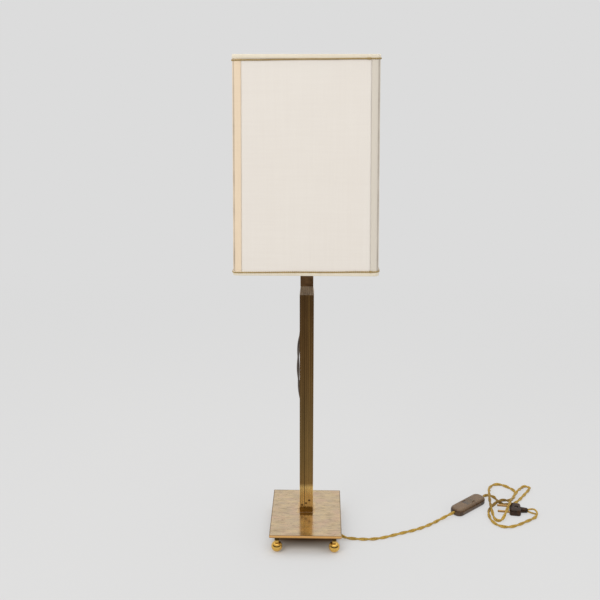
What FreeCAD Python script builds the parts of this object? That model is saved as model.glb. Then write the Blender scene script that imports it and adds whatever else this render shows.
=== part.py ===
"""Column table lamp: reeded brass column on a brass plate with ball feet, a tall box
shade, and a twisted flex with an in-line switch and a two-pin plug.

Millimetres. The origin is on the column's axis, at the table. +Z is up and -Y is the
front. One STEP file is written for each sub-part.
"""
import math
import os

import FreeCAD
import Part

os.makedirs("parts", exist_ok=True)
V = FreeCAD.Vector

# Small values that many pieces share
bite = 0.5  # how far two shapes that become one run into each other
past = 1.0  # how far a cutter runs past the face that it opens
near = 0.01  # the closeness that picks an edge by its place

# Driving sizes of the base
plate_width = 110.0
plate_depth = 140.0
plate_thick = 4.5
plate_forward = 13.0  # the plate's centre lies this far in front of the column's axis
plate_under = 28.5  # height of the plate's underside above the table
plate_edge_round = 0.5
plate_corner_round = 1.5

ball_dia = 17.0
ball_flat_depth = 0.3  # the worn flat that each ball stands on
foot_inset = 11.0  # from the plate's edges to a foot's axis
foot_neck_dia = 7.0
foot_collar_dia = 12.0
foot_collar_thick = 2.4
foot_stud_dia = 4.0
foot_stud_length = 2.2
foot_collar_round = 0.8

# Column, its foot and its head
column_width = 21.0
column_depth = 22.0
column_wall = 2.5
column_slot = 12.0  # the open slot down its back
column_length = 351.5
reeds_across = 7
reed_height = 0.6
foot_overhang = 2.0  # in front of the column and behind it
foot_thick = 6.5
foot_corner_round = 0.6
foot_tenon = 16.0
tenon_gap = 0.1  # all round a tenon in the column
flex_bore = 3.4  # radius of the way through for the riser flex
shoulder_height = 12.5
shoulder_top_width = 18.4
head_tenon = 8.0
neck_width = 19.0
neck_depth = 14.0
neck_height = 17.5
neck_edge = 0.8

screw_dia = 4.0  # the two screws that hold the column's foot
screw_head_dia = 7.6
screw_head_thick = 2.6
screw_spacing = 18.0
screw_grip = 5.5  # thread length in the column's foot
screw_clearance = 0.2
screw_slot_width = 1.0
screw_slot_depth = 1.0

# Wiring cup under the plate
cup_inner = 20.5
cup_wall = 1.5
cup_height = 21.0
cup_ear_reach = 27.0  # from the axis to an ear's screw
cup_ear_radius = 5.5
cup_screw_dia = 3.0
cup_screw_depth = 2.4
cup_head_radius = 2.85
cup_head_thick = 2.0
cup_slot_width = 0.8
cup_slot_depth = 0.8
block_length = 20.0
block_start = -3.5  # along the flex's way out, from the axis
block_width = 10.0
block_height = 8.0
block_pole_radius = 1.9
block_end_wall = 1.0  # beyond the poles
exit_angle = -38.0  # the way the flex leaves the cup, in plan
exit_height = 18.0
grip_length = 12.0
grip_root_dia = 11.0
grip_tip_dia = 7.6
grip_collar_dia = 14.0
grip_collar_thick = 1.6

# Flex
flex_dia = 5.2
riser_dia = 4.4
bush_wall = 1.0
bush_rim = 1.4  # how far its rim stands out
bush_rim_thick = 1.2
fit_gap = 0.05  # round a flex in its bush, grip or housing

# Lampholder
nipple_dia = 10.0
nipple_length = 20.0
nipple_in_neck = 12.0
locknut_across = 14.0
locknut_thick = 3.0
cap_radius = 18.5
cap_height = 22.0
cap_wall = 1.2
cap_floor = 2.0
cap_seat = 1.0  # how far its flat underside stands out past the neck
cap_flare = 5.0  # height of the flare from the neck
cap_round = 10.0  # height at which the sides stand upright
cap_round_in = 3.0
cap_inner_drop = 0.5  # between the rounds inside and outside
holder_lip = 1.5  # height of the lip that the cap screws to
holder_radius = 20.0
holder_length = 46.0
holder_wall = 1.6
flange_radius = 24.0
flange_thick = 2.5
flange_height = 18.5  # from the cap's rim to the flange's top
insulator_wall = 3.6
insulator_floor = 8.0
insulator_top_gap = 1.0  # below the holder's rim
insulator_wire_hole = 4.0  # depth of the hole for the flex
contact_strip = 0.8
contact_height = 2.4
contact_radius = 2.6
contact_half_width = 3.0
contact_reach = 11.0  # the strip's long end
contact_short = 4.0
ring_radius = 26.0
ring_height = 9.0
ring_round = 2.5
ring_groove = 0.7  # radius of the grip's grooves
ring_groove_step = 12  # degrees
ring_groove_short = 3.0  # they end this far below the ring's top
thread_gap = 0.08
seat_gap = 0.05

# Bulb
bulb_cap_radius = 13.2
bulb_cap_length = 25.0
bulb_neck_radius = 14.0
bulb_radius = 30.0
bulb_length = 80.0  # glass, from the cap's rim to the crown
bulb_wall = 0.9
button_radius = 4.5
button_height = 1.6
button_flare = 2.0
bulb_join = 40.0  # degrees off the axis where the neck meets the ball
bulb_neck_hollow = 1.2

# Shade
shade_bottom_width = 197.2  # over the fabric, at the lower edge
shade_top_width = 188.2
shade_height = 289.0
shade_drop = 18.5  # from the lampholder's flange down to its lower edge
shade_corner = 6.0
fabric_thick = 1.0
band_proud = 0.4
band_width = 11.0
hem_height = 4.7
hem_thick = 0.5
hem_clearance = 0.3  # between the hem and the frame's wires
hem_inner_gap = 0.1
piping_dia = 2.4
piping_out = 0.8  # from the fabric's outside to the piping's centre
piping_from_edge = 6.4
frame_wire = 4.0
frame_gap = 0.1  # between the fabric and the frame's wires
strut_wire = 3.0
fitter_radius = 24.0
fitter_thick = 2.5
arm_wire = 3.2
arm_overlap = 1.5  # how far an arm runs over the fitter's ring
least_bend = 0.5  # more than the wire's own radius

# In-line switch
switch_length = 74.0
switch_width = 25.0
switch_height = 13.0
switch_wall = 1.8
switch_end_round = 11.2
switch_edge_round = 5.5
switch_low_round = 4.2
switch_centre = (270.2, 61.5)
switch_angle = 42.5
flex_grip = 3.0  # how far a flex runs into the switch or the plug
rocker_length = 17.4
rocker_width = 12.0
rocker_pivot_depth = 3.4  # below the switch's top
rocker_tilt = 9.0  # each side of level
rocker_pin_dia = 2.0
rocker_gap = 0.35
rocker_crest = 4.2  # from the pin to the ends of its top
rocker_valley = 1.5  # how far the top dips over the pin
rocker_end = 0.6  # its ends' lower edges, above the pin
rocker_belly = 3.2  # below the pin
rocker_belly_half = 2.6
rocker_crest_round = 0.5
ear_half_length = 3.5
ear_thick = 2.2
ear_below = 3.0  # below the pin
ear_top_gap = 1.4
ear_pin_depth = 1.8
switch_screw_dia = 2.4
switch_screw_head = 4.6
switch_head_gap = 0.1
switch_head_low = 1.0
switch_head_high = 2.6
switch_slot_depth = 0.6
switch_screw_at = 27.0
switch_boss_dia = 6.4
switch_boss_bite = 0.2  # into the shells
switch_hole_cover = 3.5  # left over the screw's hole
switch_screw_short = 1.0  # the screw ends this far below its hole
blade_at = 9.0  # from the middle to a contact
blade_half_length = 4.0
blade_half_width = 3.0
blade_thick = 0.8
blade_height = 2.6

# Plug
plug_length = 30.0
plug_head_length = 19.0
plug_head_width = 27.0
plug_height = 11.0
plug_edge_round = 2.6
plug_corner = 4.16
plug_tail_dia = 9.6
plug_tail_in = 0.8  # its end is narrower by this radius
plug_tail_out = 0.6  # its root is wider by this radius
plug_tail_root = 4.0  # how far it runs into the head
plug_tail_round = 1.4
plug_tail = (366.4, 47.4)  # where the flex goes in
plug_angle = 172.0
pin_dia = 4.0
pin_length = 19.0
pin_spacing = 19.0
pin_root = 9.0
pin_root_dia = 4.8
pin_tip_flat = 0.6  # radius of the flat at a pin's tip
plug_screw_dia = 3.0
plug_screw_share = 0.6  # its place along the head, from the pins' face
plug_screw_low = 2.6
plug_head_low = 3.0  # below the cover's face
plug_head_high = 1.4
plug_slot_depth = 0.8
plug_slot_width = 0.8

# Heights and places that follow
plate_top = plate_under + plate_thick
column_foot_top = plate_top + foot_thick
column_top = column_foot_top + column_length
shoulder_top = column_top + shoulder_height
neck_top = shoulder_top + neck_height
cap_top = neck_top + cap_height
flange_top = cap_top + flange_height
holder_top = cap_top + holder_length
shade_bottom = flange_top - shade_drop
shade_top = shade_bottom + shade_height
plate_centre_y = -plate_forward
frame_inset = fabric_thick + frame_gap + frame_wire / 2  # to the wire's centre
rocker_pivot_height = switch_height - rocker_pivot_depth
switch_screw_side = switch_width / 2 - switch_wall - switch_boss_dia / 2 + bite

# Routes of the flex, chosen by hand: (x, y, z)
table_flex = [
    (31.9, -24.92, 18.0),
    (57.5, -38.4, 3.4),
    (78.0, -41.0, 2.7),
    (101.0, -41.8, 2.7),
    (122.0, -36.5, 2.7),
    (148.0, -24.0, 2.7),
    (176.0, -12.0, 2.7),
    (199.0, 3.0, 2.7),
    (216.5, 18.0, 3.0),
    (228.0, 25.2, 5.4),
    (238.5, 32.45, 6.5),
]
plug_flex = [
    (301.9, 90.55, 6.5),
    (307.0, 98.0, 4.4),
    (313.2, 100.4, 2.8),
    (319.6, 96.8, 2.7),
    (322.6, 89.4, 2.7),
    (324.6, 80.2, 2.7),
    (330.4, 72.2, 2.7),
    (341.0, 70.2, 2.7),
    (352.0, 75.0, 2.7),
    (361.6, 86.0, 2.7),
    (370.4, 98.4, 2.7),
    (378.2, 109.6, 2.7),
    (384.4, 118.7, 2.7),
    (389.3, 126.8, 2.7),
    (387.9, 131.8, 2.7),
    (383.4, 134.4, 2.7),
    (378.4, 133.0, 2.8),
    (373.6, 123.6, 4.5),
    (364.8, 109.2, 9.0),
    (356.2, 94.8, 9.2),
    (348.8, 78.6, 10.6),
    (341.2, 61.0, 15.6),
    (333.5, 43.5, 15.4),
    (325.6, 29.0, 8.4),
    (318.8, 19.8, 3.2),
    (312.9, 18.4, 2.7),
    (308.3, 22.2, 2.7),
    (307.2, 34.2, 3.4),
    (306.8, 50.0, 8.8),
    (308.2, 70.0, 9.2),
    (311.4, 92.0, 10.0),
    (315.0, 112.0, 8.2),
    (320.0, 129.0, 2.8),
    (329.5, 140.0, 2.7),
    (341.0, 140.0, 2.7),
    (352.0, 130.6, 2.7),
    (360.6, 118.6, 2.7),
    (359.6, 106.0, 2.7),
    (354.2, 94.6, 2.7),
    (347.8, 87.2, 2.7),
    (341.0, 82.0, 3.0),
    (331.8, 76.0, 8.7),
    (320.6, 69.8, 8.7),
    (310.8, 63.4, 3.0),
    (303.2, 51.0, 2.7),
    (300.4, 36.0, 2.7),
    (301.2, 21.0, 2.7),
    (306.0, 8.4, 2.7),
    (316.0, 0.4, 2.7),
    (329.0, 0.0, 2.7),
    (344.5, 7.6, 2.7),
    (359.0, 18.4, 2.7),
    (370.0, 25.6, 2.7),
    (377.6, 32.2, 3.4),
    (380.2, 39.2, 4.6),
    (377.2, 45.0, 5.4),
    (370.6, 46.81, 5.5),
]
riser_flex = [
    (0.0, 0.0, 61.0),
    (0.8, 3.0, 104.0),
    (-0.8, 8.5, 148.0),
    (-5.4, 14.2, 186.0),
    (-11.0, 16.2, 222.0),
    (-13.8, 16.0, 258.0),
    (-13.4, 16.3, 294.0),
    (-11.4, 16.5, 318.0),
    (-6.4, 15.2, 338.0),
    (-1.8, 10.8, 353.0),
    (0.0, 3.0, 367.0),
    (0.1, 0.3, 384.0),
    (0.0, -0.2, 416.5),
]


def box(x0, x1, y0, y1, z0, z1):
    return Part.makeBox(x1 - x0, y1 - y0, z1 - z0, V(x0, y0, z0))


def rod(radius, z0, z1, x=0.0, y=0.0):
    return Part.makeCylinder(radius, z1 - z0, V(x, y, z0))


def pipe(outer, inner, z0, z1, x=0.0, y=0.0):
    return rod(outer, z0, z1, x, y).cut(rod(inner, z0 - 1, z1 + 1, x, y))


def round_rectangle(half_x, half_y, radius, z):
    """A closed wire: a rectangle about the axis with round corners."""
    corners = [(1, 1), (-1, 1), (-1, -1), (1, -1)]
    edges = []
    last = None
    first = None
    for i, (sx, sy) in enumerate(corners):
        cx = sx * (half_x - radius)
        cy = sy * (half_y - radius)
        a = math.radians(90 * i)
        start = V(cx + radius * math.cos(a), cy + radius * math.sin(a), z)
        b = a + math.radians(45)
        middle = V(cx + radius * math.cos(b), cy + radius * math.sin(b), z)
        c = a + math.radians(90)
        end = V(cx + radius * math.cos(c), cy + radius * math.sin(c), z)
        if last is not None:
            edges.append(Part.LineSegment(last, start).toShape())
        else:
            first = start
        edges.append(Part.Arc(start, middle, end).toShape())
        last = end
    edges.append(Part.LineSegment(last, first).toShape())
    return Part.Wire(edges)


def prism(wire, height):
    return Part.Face(wire).extrude(V(0, 0, height))


def polygon(points):
    return Part.makePolygon([V(*p) for p in points] + [V(*points[0])])


def turned(profile):
    """A solid of revolution about Z from (radius, z) points."""
    face = Part.Face(polygon([(r, 0.0, z) for r, z in profile]))
    return face.revolve(V(0, 0, 0), V(0, 0, 1), 360)


def unit(vector):
    return V(vector).multiply(1.0 / vector.Length)


def corner(before, at, after):
    """Where a route's arc starts and ends, its middle point and its radius."""
    u = unit(before - at)
    w = unit(after - at)
    half = u.getAngle(w) / 2
    reach = 0.45 * min((before - at).Length, (after - at).Length)
    radius = reach * math.tan(half)
    inward = unit(u + w)
    centre = at + inward * (radius / math.sin(half))
    return at + u * reach, centre - inward * radius, at + w * reach, radius


def tube(name, route, diameter):
    """A flex: straight runs joined by tangent arcs."""
    points = [V(*p) for p in route]
    edges = []
    radii = []
    length = 0.0
    here = points[0]
    for before, at, after in zip(points, points[1:], points[2:]):
        start, middle, end, radius = corner(before, at, after)
        edges.append(Part.LineSegment(here, start).toShape())
        edges.append(Part.Arc(start, middle, end).toShape())
        radii.append(radius)
        here = end
    edges.append(Part.LineSegment(here, points[-1]).toShape())
    length = sum(e.Length for e in edges)
    path = Part.Wire(edges)
    ring = Part.Wire([Part.Circle(points[0], points[1] - points[0], diameter / 2).toShape()])
    solid = path.makePipeShell([ring], True, False)
    if solid.Volume < 0:
        solid.reverse()
    share = solid.Volume / (math.pi * diameter ** 2 / 4 * length)
    print(name, "length %.0f" % length, "volume share %.4f" % share,
          "radii", " ".join("%.0f" % r for r in radii))
    runs = [(q - p).Length for p, q in zip(points, points[1:])]
    print(name, "runs", " ".join("%.0f" % r for r in runs))
    least_gap(name, edges, diameter)
    return solid


def least_gap(name, edges, diameter):
    """Prints how near the flex comes to itself, measured on points of its centre line."""
    line = []
    travelled = 0.0
    for edge in edges:
        steps = max(1, int(edge.Length / 1.5))
        first, last = edge.ParameterRange
        for i in range(steps):
            line.append((travelled + edge.Length * i / steps,
                         edge.valueAt(first + (last - first) * i / steps)))
        travelled += edge.Length
    nearest = min((p.distanceToPoint(q) - diameter, s, t)
                  for i, (s, p) in enumerate(line) for t, q in line[i + 1:]
                  if t - s > 4 * diameter)
    print(name, "least gap to itself %.2f at %.0f and %.0f" % nearest)


def write(name, *solids):
    """One STEP file for one sub-part."""
    shape = solids[0] if len(solids) == 1 else Part.makeCompound(list(solids))
    shape.exportStep("parts/%s.step" % name)


def foot_places():
    for sx in (-1, 1):
        for sy in (-1, 1):
            yield (sx * (plate_width / 2 - foot_inset),
                   plate_centre_y + sy * (plate_depth / 2 - foot_inset))


def reeded_outline(width, depth, z):
    """The column's outer section: plain sides, and reeds across the front."""
    half = width / 2
    front = -depth / 2 + reed_height
    step = width / reeds_across
    corners = [V(half, front, z), V(half, depth / 2, z), V(-half, depth / 2, z), V(-half, front, z)]
    edges = [Part.LineSegment(a, b).toShape() for a, b in zip(corners, corners[1:])]
    for i in range(reeds_across):
        start = V(-half + i * step, front, z)
        middle = V(-half + (i + 0.5) * step, front - reed_height, z)
        end = V(-half + (i + 1) * step, front, z)
        edges.append(Part.Arc(start, middle, end).toShape())
    return Part.Wire(edges)


def base_plate():
    outline = round_rectangle(plate_width / 2, plate_depth / 2, plate_corner_round, 0)
    plate = prism(outline, plate_thick)
    plate = plate.makeFillet(plate_edge_round, [e for e in plate.Edges if
                                                abs(e.BoundBox.ZMax - e.BoundBox.ZMin) < near])
    plate.translate(V(0, plate_centre_y, plate_under))
    plate = plate.cut(rod(riser_dia / 2 + bush_wall + fit_gap, 0, plate_top + past))
    for sy in (-1, 1):
        hole = rod(screw_dia / 2 + screw_clearance, 0, plate_top + past, 0, sy * screw_spacing / 2)
        plate = plate.cut(hole)
        ear = rod(cup_screw_dia / 2, 0, plate_under + cup_screw_depth, 0, sy * cup_ear_reach)
        plate = plate.cut(ear)
    for x, y in foot_places():
        plate = plate.cut(rod(foot_stud_dia / 2, 0, plate_under + foot_stud_length, x, y))
    write("base_plate", plate)


def ball_feet():
    radius = ball_dia / 2
    centre = radius - ball_flat_depth
    feet = []
    for x, y in foot_places():
        ball = Part.makeSphere(radius, V(x, y, centre))
        ball = ball.cut(box(x - radius, x + radius, y - radius, y + radius, -radius, 0))
        neck = rod(foot_neck_dia / 2, centre + radius / 2, plate_under - bite, x, y)
        collar_low = plate_under - foot_collar_thick
        collar = rod(foot_collar_dia / 2, collar_low, plate_under, x, y)
        rim = [e for e in collar.Edges if abs(e.BoundBox.ZMax - collar_low) < near]
        collar = collar.makeFillet(foot_collar_round, rim)
        stud = rod(foot_stud_dia / 2, plate_under - bite, plate_under + foot_stud_length, x, y)
        feet.append(ball.fuse([neck, collar, stud]).removeSplitter())
    write("ball_feet", *feet)


def column_pieces():
    half_in = column_width / 2 - column_wall
    front_in = -column_depth / 2 + column_wall
    column = prism(reeded_outline(column_width, column_depth, column_foot_top), column_length)
    column = column.cut(box(-half_in, half_in, front_in, column_depth / 2 - column_wall,
                            column_foot_top - past, column_top + past))
    column = column.cut(box(-column_slot / 2, column_slot / 2, 0, column_depth,
                            column_foot_top - past, column_top + past))
    write("column", column)

    # The foot is a flange with a tenon that stands in the column
    half_flange = column_depth / 2 + foot_overhang
    flange = box(-column_width / 2, column_width / 2, -half_flange, half_flange,
                 plate_top, column_foot_top)
    upright = [e for e in flange.Edges if e.BoundBox.ZMax - e.BoundBox.ZMin > near]
    flange = flange.makeFillet(foot_corner_round, upright)
    back_in = column_depth / 2 - column_wall
    tenon = box(-half_in + tenon_gap, half_in - tenon_gap, front_in + tenon_gap,
                back_in - tenon_gap, column_foot_top - bite, column_foot_top + foot_tenon)
    foot = flange.fuse(tenon).removeSplitter()
    foot = foot.cut(rod(flex_bore, 0, column_top))
    for sy in (-1, 1):
        foot = foot.cut(rod(screw_dia / 2, 0, plate_top + screw_grip, 0, sy * screw_spacing / 2))
    write("column_foot", foot)

    # The shoulder narrows from the reeded column to the neck
    low = reeded_outline(column_width, column_depth, column_top)
    high = reeded_outline(shoulder_top_width, neck_depth, shoulder_top)
    shoulder = Part.makeLoft([low, high], True, True)
    if shoulder.Volume < 0:
        shoulder.reverse()
    plug = box(-half_in + tenon_gap, half_in - tenon_gap, front_in + tenon_gap,
               back_in - tenon_gap, column_top - head_tenon, column_top + bite)
    shoulder = shoulder.fuse(plug).removeSplitter().cut(rod(flex_bore, 0, neck_top))
    write("shoulder_cap", shoulder)

    neck = box(-neck_width / 2, neck_width / 2, -neck_depth / 2, neck_depth / 2,
               shoulder_top, neck_top)
    upright = [e for e in neck.Edges if e.BoundBox.ZMax - e.BoundBox.ZMin > near]
    neck = neck.makeFillet(neck_edge, upright)
    neck = neck.cut(rod(flex_bore, 0, neck_top + past))
    neck = neck.cut(rod(nipple_dia / 2, neck_top - nipple_in_neck, neck_top + past))
    write("neck_block", neck)


def foot_screws():
    screws = []
    for sy in (-1, 1):
        y = sy * screw_spacing / 2
        low = plate_under - screw_head_thick
        head = rod(screw_head_dia / 2, low, plate_under, 0, y)
        edge = [e for e in head.Edges if abs(e.BoundBox.ZMax - low) < near]
        head = head.makeFillet(screw_head_thick / 2, edge)
        slot = box(-screw_slot_width / 2, screw_slot_width / 2, y - screw_head_dia,
                   y + screw_head_dia, low - past, low + screw_slot_depth)
        shank = rod(screw_dia / 2, plate_under - bite, plate_top + screw_grip, 0, y)
        screws.append(head.fuse(shank).removeSplitter().cut(slot))
    write("foot_screws", *screws)


def along(distance, height, side=0.0):
    """A point along the way that the flex leaves the cup."""
    a = math.radians(exit_angle)
    return V(distance * math.cos(a) - side * math.sin(a),
             distance * math.sin(a) + side * math.cos(a), height)


def lying(shape):
    """Turns a shape made along +Z so that it lies along the flex's way out."""
    shape.rotate(V(0, 0, 0), V(0, 1, 0), 90)
    shape.rotate(V(0, 0, 0), V(0, 0, 1), exit_angle)
    shape.translate(V(0, 0, exit_height))
    return shape


def wiring_cup():
    low = plate_under - cup_height
    outer = cup_inner + cup_wall
    cup = rod(outer, low, plate_under)
    edge = [e for e in cup.Edges if abs(e.BoundBox.ZMax - low) < near]
    cup = cup.makeFillet(cup_wall, edge)
    for sy in (-1, 1):
        y = sy * cup_ear_reach
        ear = rod(cup_ear_radius, plate_under - cup_wall, plate_under, 0, y)
        web = box(-cup_ear_radius, cup_ear_radius, min(0, y), max(0, y),
                  plate_under - cup_wall, plate_under)
        cup = cup.fuse([ear, web])
    cup = cup.removeSplitter().cut(rod(cup_inner, low + cup_wall, plate_under + past))
    for sy in (-1, 1):
        cup = cup.cut(rod(cup_screw_dia / 2 + screw_clearance, low, plate_under + past,
                          0, sy * cup_ear_reach))
    cup = cup.cut(lying(rod(grip_root_dia / 2, 0, outer + past)))
    write("wiring_cup", cup)

    screws = []
    for sy in (-1, 1):
        y = sy * cup_ear_reach
        top = plate_under - cup_wall
        head_low = top - cup_head_thick
        head = rod(cup_head_radius, head_low, top, 0, y)
        slot = box(-cup_slot_width / 2, cup_slot_width / 2, y - cup_head_radius - past,
                   y + cup_head_radius + past, head_low - past, head_low + cup_slot_depth)
        shank = rod(cup_screw_dia / 2, top - bite, plate_under + cup_screw_depth, 0, y)
        screws.append(head.fuse(shank).removeSplitter().cut(slot))
    write("cup_screws", *screws)

    # Two-way terminal block, with its poles along the flex
    block_end = block_start + block_length
    block = box(block_start, block_end, -block_width / 2, block_width / 2,
                exit_height - block_height / 2, exit_height + block_height / 2)
    poles = []
    for sy in (-1, 1):
        y = sy * block_width / 4
        pole = Part.makeCylinder(block_pole_radius, block_length - 2 * block_end_wall,
                                 V(block_start + block_end_wall, y, exit_height), V(1, 0, 0))
        block = block.cut(pole)
        poles.append(pole)
    for shape in [block] + poles:
        shape.rotate(V(0, 0, 0), V(0, 0, 1), exit_angle)
    write("terminal_block", block)
    write("terminal_poles", *poles)

    # The rubber grip holds the flex in the cup's wall
    wall = math.sqrt(cup_inner ** 2 - (grip_collar_dia / 2) ** 2)
    start = wall - grip_collar_thick
    bore = flex_dia / 2 + fit_gap
    grip = turned([(bore, start), (grip_collar_dia / 2, start), (grip_collar_dia / 2, wall),
                   (grip_root_dia / 2, wall), (grip_root_dia / 2, outer + bite),
                   (grip_tip_dia / 2, start + grip_length), (bore, start + grip_length)])
    write("cord_grip", lying(grip))

    rim_low = plate_under - bush_rim_thick
    bush = pipe(riser_dia / 2 + bush_wall, riser_dia / 2 + fit_gap, rim_low, plate_top)
    rim = pipe(riser_dia / 2 + bush_wall + bush_rim, riser_dia / 2 + fit_gap,
               rim_low, plate_under)
    write("riser_bush", bush.fuse(rim).removeSplitter())


def lampholder():
    nipple = pipe(nipple_dia / 2, flex_bore, neck_top - nipple_in_neck,
                  neck_top - nipple_in_neck + nipple_length)
    write("threaded_nipple", nipple)

    nut_low = neck_top + cap_floor
    hexagon = [(locknut_across / math.sqrt(3) * math.cos(math.radians(60 * i)),
                locknut_across / math.sqrt(3) * math.sin(math.radians(60 * i)), nut_low)
               for i in range(6)]
    nut = prism(polygon(hexagon), locknut_thick).cut(rod(nipple_dia / 2, 0, holder_top))
    write("holder_locknut", nut)

    inner_wall = cap_radius - cap_wall
    seat = neck_depth / 2 + cap_seat
    cap = turned([(nipple_dia / 2, neck_top), (seat, neck_top),
                  (cap_radius - cap_round_in, neck_top + cap_flare),
                  (cap_radius, neck_top + cap_round), (cap_radius, cap_top),
                  (inner_wall, cap_top), (inner_wall, neck_top + cap_round + cap_inner_drop),
                  (inner_wall - cap_round_in, neck_top + cap_flare + 2 * cap_inner_drop),
                  (seat + cap_inner_drop, neck_top + cap_floor),
                  (nipple_dia / 2, neck_top + cap_floor)])
    write("holder_cap", cap)

    shell = pipe(holder_radius, holder_radius - holder_wall, cap_top, holder_top)
    flange = pipe(flange_radius, holder_radius - holder_wall, flange_top - flange_thick, flange_top)
    lip = pipe(holder_radius, inner_wall, cap_top, cap_top + holder_lip)
    write("holder_shell", shell.fuse([flange, lip]).removeSplitter())

    inner = holder_radius - holder_wall
    low = cap_top + holder_lip
    insulator = rod(inner, low, holder_top - insulator_top_gap)
    insulator = insulator.cut(rod(inner - insulator_wall, low + insulator_floor, holder_top))
    insulator = insulator.cut(rod(flex_bore, low - past, low + insulator_wire_hole))
    write("holder_insulator", insulator)

    seat = low + insulator_floor
    contact = box(-contact_half_width, contact_half_width, -contact_reach, contact_short,
                  seat, seat + contact_strip)
    tip = seat + contact_height
    write("centre_contact", contact.fuse(rod(contact_radius, seat, tip)).removeSplitter())

    ring_low = flange_top + fitter_thick + 2 * seat_gap
    ring = pipe(ring_radius, holder_radius + thread_gap, ring_low, ring_low + ring_height)
    ring_top = ring_low + ring_height
    edge = [e for e in ring.Edges if abs(e.BoundBox.ZMin - ring_top) < near
            and e.BoundBox.XMax > ring_radius - near]
    ring = ring.makeFillet(ring_round, edge)
    grooves = [rod(ring_groove, ring_low - past, ring_top - ring_groove_short,
                   ring_radius * math.cos(math.radians(a)),
                   ring_radius * math.sin(math.radians(a)))
               for a in range(0, 360, ring_groove_step)]
    write("shade_ring", ring.cut(grooves))

    # Bulb: contact button, screw cap and glass
    cap_low = tip + button_height
    rim = cap_low + bulb_cap_length
    write("bulb_contact", turned([(0, tip), (button_radius, tip),
                                  (button_radius + button_flare, cap_low), (0, cap_low)]))
    write("bulb_cap", rod(bulb_cap_radius, cap_low, rim))
    crown = rim + bulb_length
    centre = crown - bulb_radius
    glass = bulb_solid(rim, centre, 0).cut(bulb_solid(rim, centre, bulb_wall))
    write("bulb_glass", glass)


def bulb_solid(rim, centre, inset):
    """The bulb's glass as a turned solid: a neck that swells into a ball."""
    neck = bulb_neck_radius - inset
    ball = bulb_radius - inset
    low = rim + inset
    join = centre - ball * math.cos(math.radians(bulb_join))
    wide = ball * math.sin(math.radians(bulb_join))
    start = V(neck, 0, low)
    middle = V((neck + wide) / 2 - bulb_neck_hollow, 0, (low + join) / 2)
    bend = Part.Arc(start, middle, V(wide, 0, join))
    dome = Part.Arc(V(wide, 0, join), V(ball, 0, centre), V(0, 0, centre + ball))
    lines = [Part.LineSegment(V(0, 0, centre + ball), V(0, 0, low)).toShape(),
             Part.LineSegment(V(0, 0, low), start).toShape()]
    face = Part.Face(Part.Wire([bend.toShape(), dome.toShape()] + lines))
    return face.revolve(V(0, 0, 0), V(0, 0, 1), 360)


def half_width(z):
    """Half the shade's width over the fabric at a height."""
    share = (z - shade_bottom) / shade_height
    return (shade_bottom_width + (shade_top_width - shade_bottom_width) * share) / 2


def shade_block(offset, z0, z1):
    """The shade as a solid block, its sides moved out by an offset."""
    wires = [round_rectangle(half_width(z) + offset, half_width(z) + offset,
                             shade_corner + offset, z) for z in (z0, z1)]
    return Part.makeLoft(wires, True, True)


def shade_fabric():
    low = shade_bottom + hem_thick
    high = shade_top - hem_thick
    reach = shade_bottom_width
    hollow = shade_block(-fabric_thick, low, high)
    panels = shade_block(0, low, high).cut(hollow)
    bands = shade_block(band_proud, low, high).cut(hollow)

    for name, z in (("piping_bottom", shade_bottom + piping_from_edge),
                    ("piping_top", shade_top - piping_from_edge)):
        wide = half_width(z) + piping_out
        write(name, wire_loop(wide, shade_corner + piping_out, z, piping_dia))
        groove = wire_loop(wide, shade_corner + piping_out, z, piping_dia + 2 * fit_gap)
        panels = panels.cut(groove)
        bands = bands.cut(groove)

    # A wedge with the width that a panel keeps between the bands on its two edges
    ends = [(half_width(z) - band_width, z) for z in (low - past, high + past)]
    wedge = Part.Face(polygon([(-ends[0][0], 0, ends[0][1]), (ends[0][0], 0, ends[0][1]),
                               (ends[1][0], 0, ends[1][1]), (-ends[1][0], 0, ends[1][1])]))
    slab = wedge.extrude(V(0, -reach, 0))
    names = ("panel_front", "panel_right", "panel_back", "panel_left")
    for i, name in enumerate(names):
        write(name, panels.common(slab))
        bands = bands.cut(slab)
        slab.rotate(V(0, 0, 0), V(0, 0, 1), 90)
    write("corner_bands", *bands.Solids)

    for name, edge, inward in (("hem_bottom", shade_bottom, 1), ("hem_top", shade_top, -1)):
        wide = half_width(edge) if inward > 0 else half_width(edge - hem_height)
        inner = frame_inset + frame_wire / 2 + hem_inner_gap
        z0 = min(edge, edge + inward * hem_height)
        z1 = max(edge, edge + inward * hem_height)
        groove0 = z0 + hem_thick if inward > 0 else z0 - past
        groove1 = z1 + past if inward > 0 else z1 - hem_thick
        hem = hoop(wide, band_proud + hem_thick, -inner - hem_thick, z0, z1)
        hem = hem.cut(hoop(wide, band_proud, -inner, groove0, groove1))
        # Its inner lip stops short of the upright wires, and the arms pass through it
        lip = inward * (hem_thick + frame_wire - hem_clearance)
        short0 = edge + lip if inward > 0 else z0 - past
        short1 = z1 + past if inward > 0 else edge + lip
        hem = hem.cut(hoop(wide, -frame_inset, -inner - 2 * hem_thick, short0, short1))
        if inward > 0:
            half = arm_wire / 2 + hem_clearance
            for i in range(2):
                slot = box(-wide + frame_inset, wide - frame_inset, -half, half,
                           groove0, z1 + past)
                slot.rotate(V(0, 0, 0), V(0, 0, 1), 90 * i)
                hem = hem.cut(slot)
        write(name, hem)


def hoop(wide, out, inside, z0, z1):
    """A rectangular hoop between two offsets of the shade's outline."""
    outer = prism(round_rectangle(wide + out, wide + out, shade_corner + out, z0), z1 - z0)
    radius = max(shade_corner + inside, least_bend)
    inner = prism(round_rectangle(wide + inside, wide + inside, radius, z0 - past),
                  z1 - z0 + 2 * past)
    return outer.cut(inner)


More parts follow.
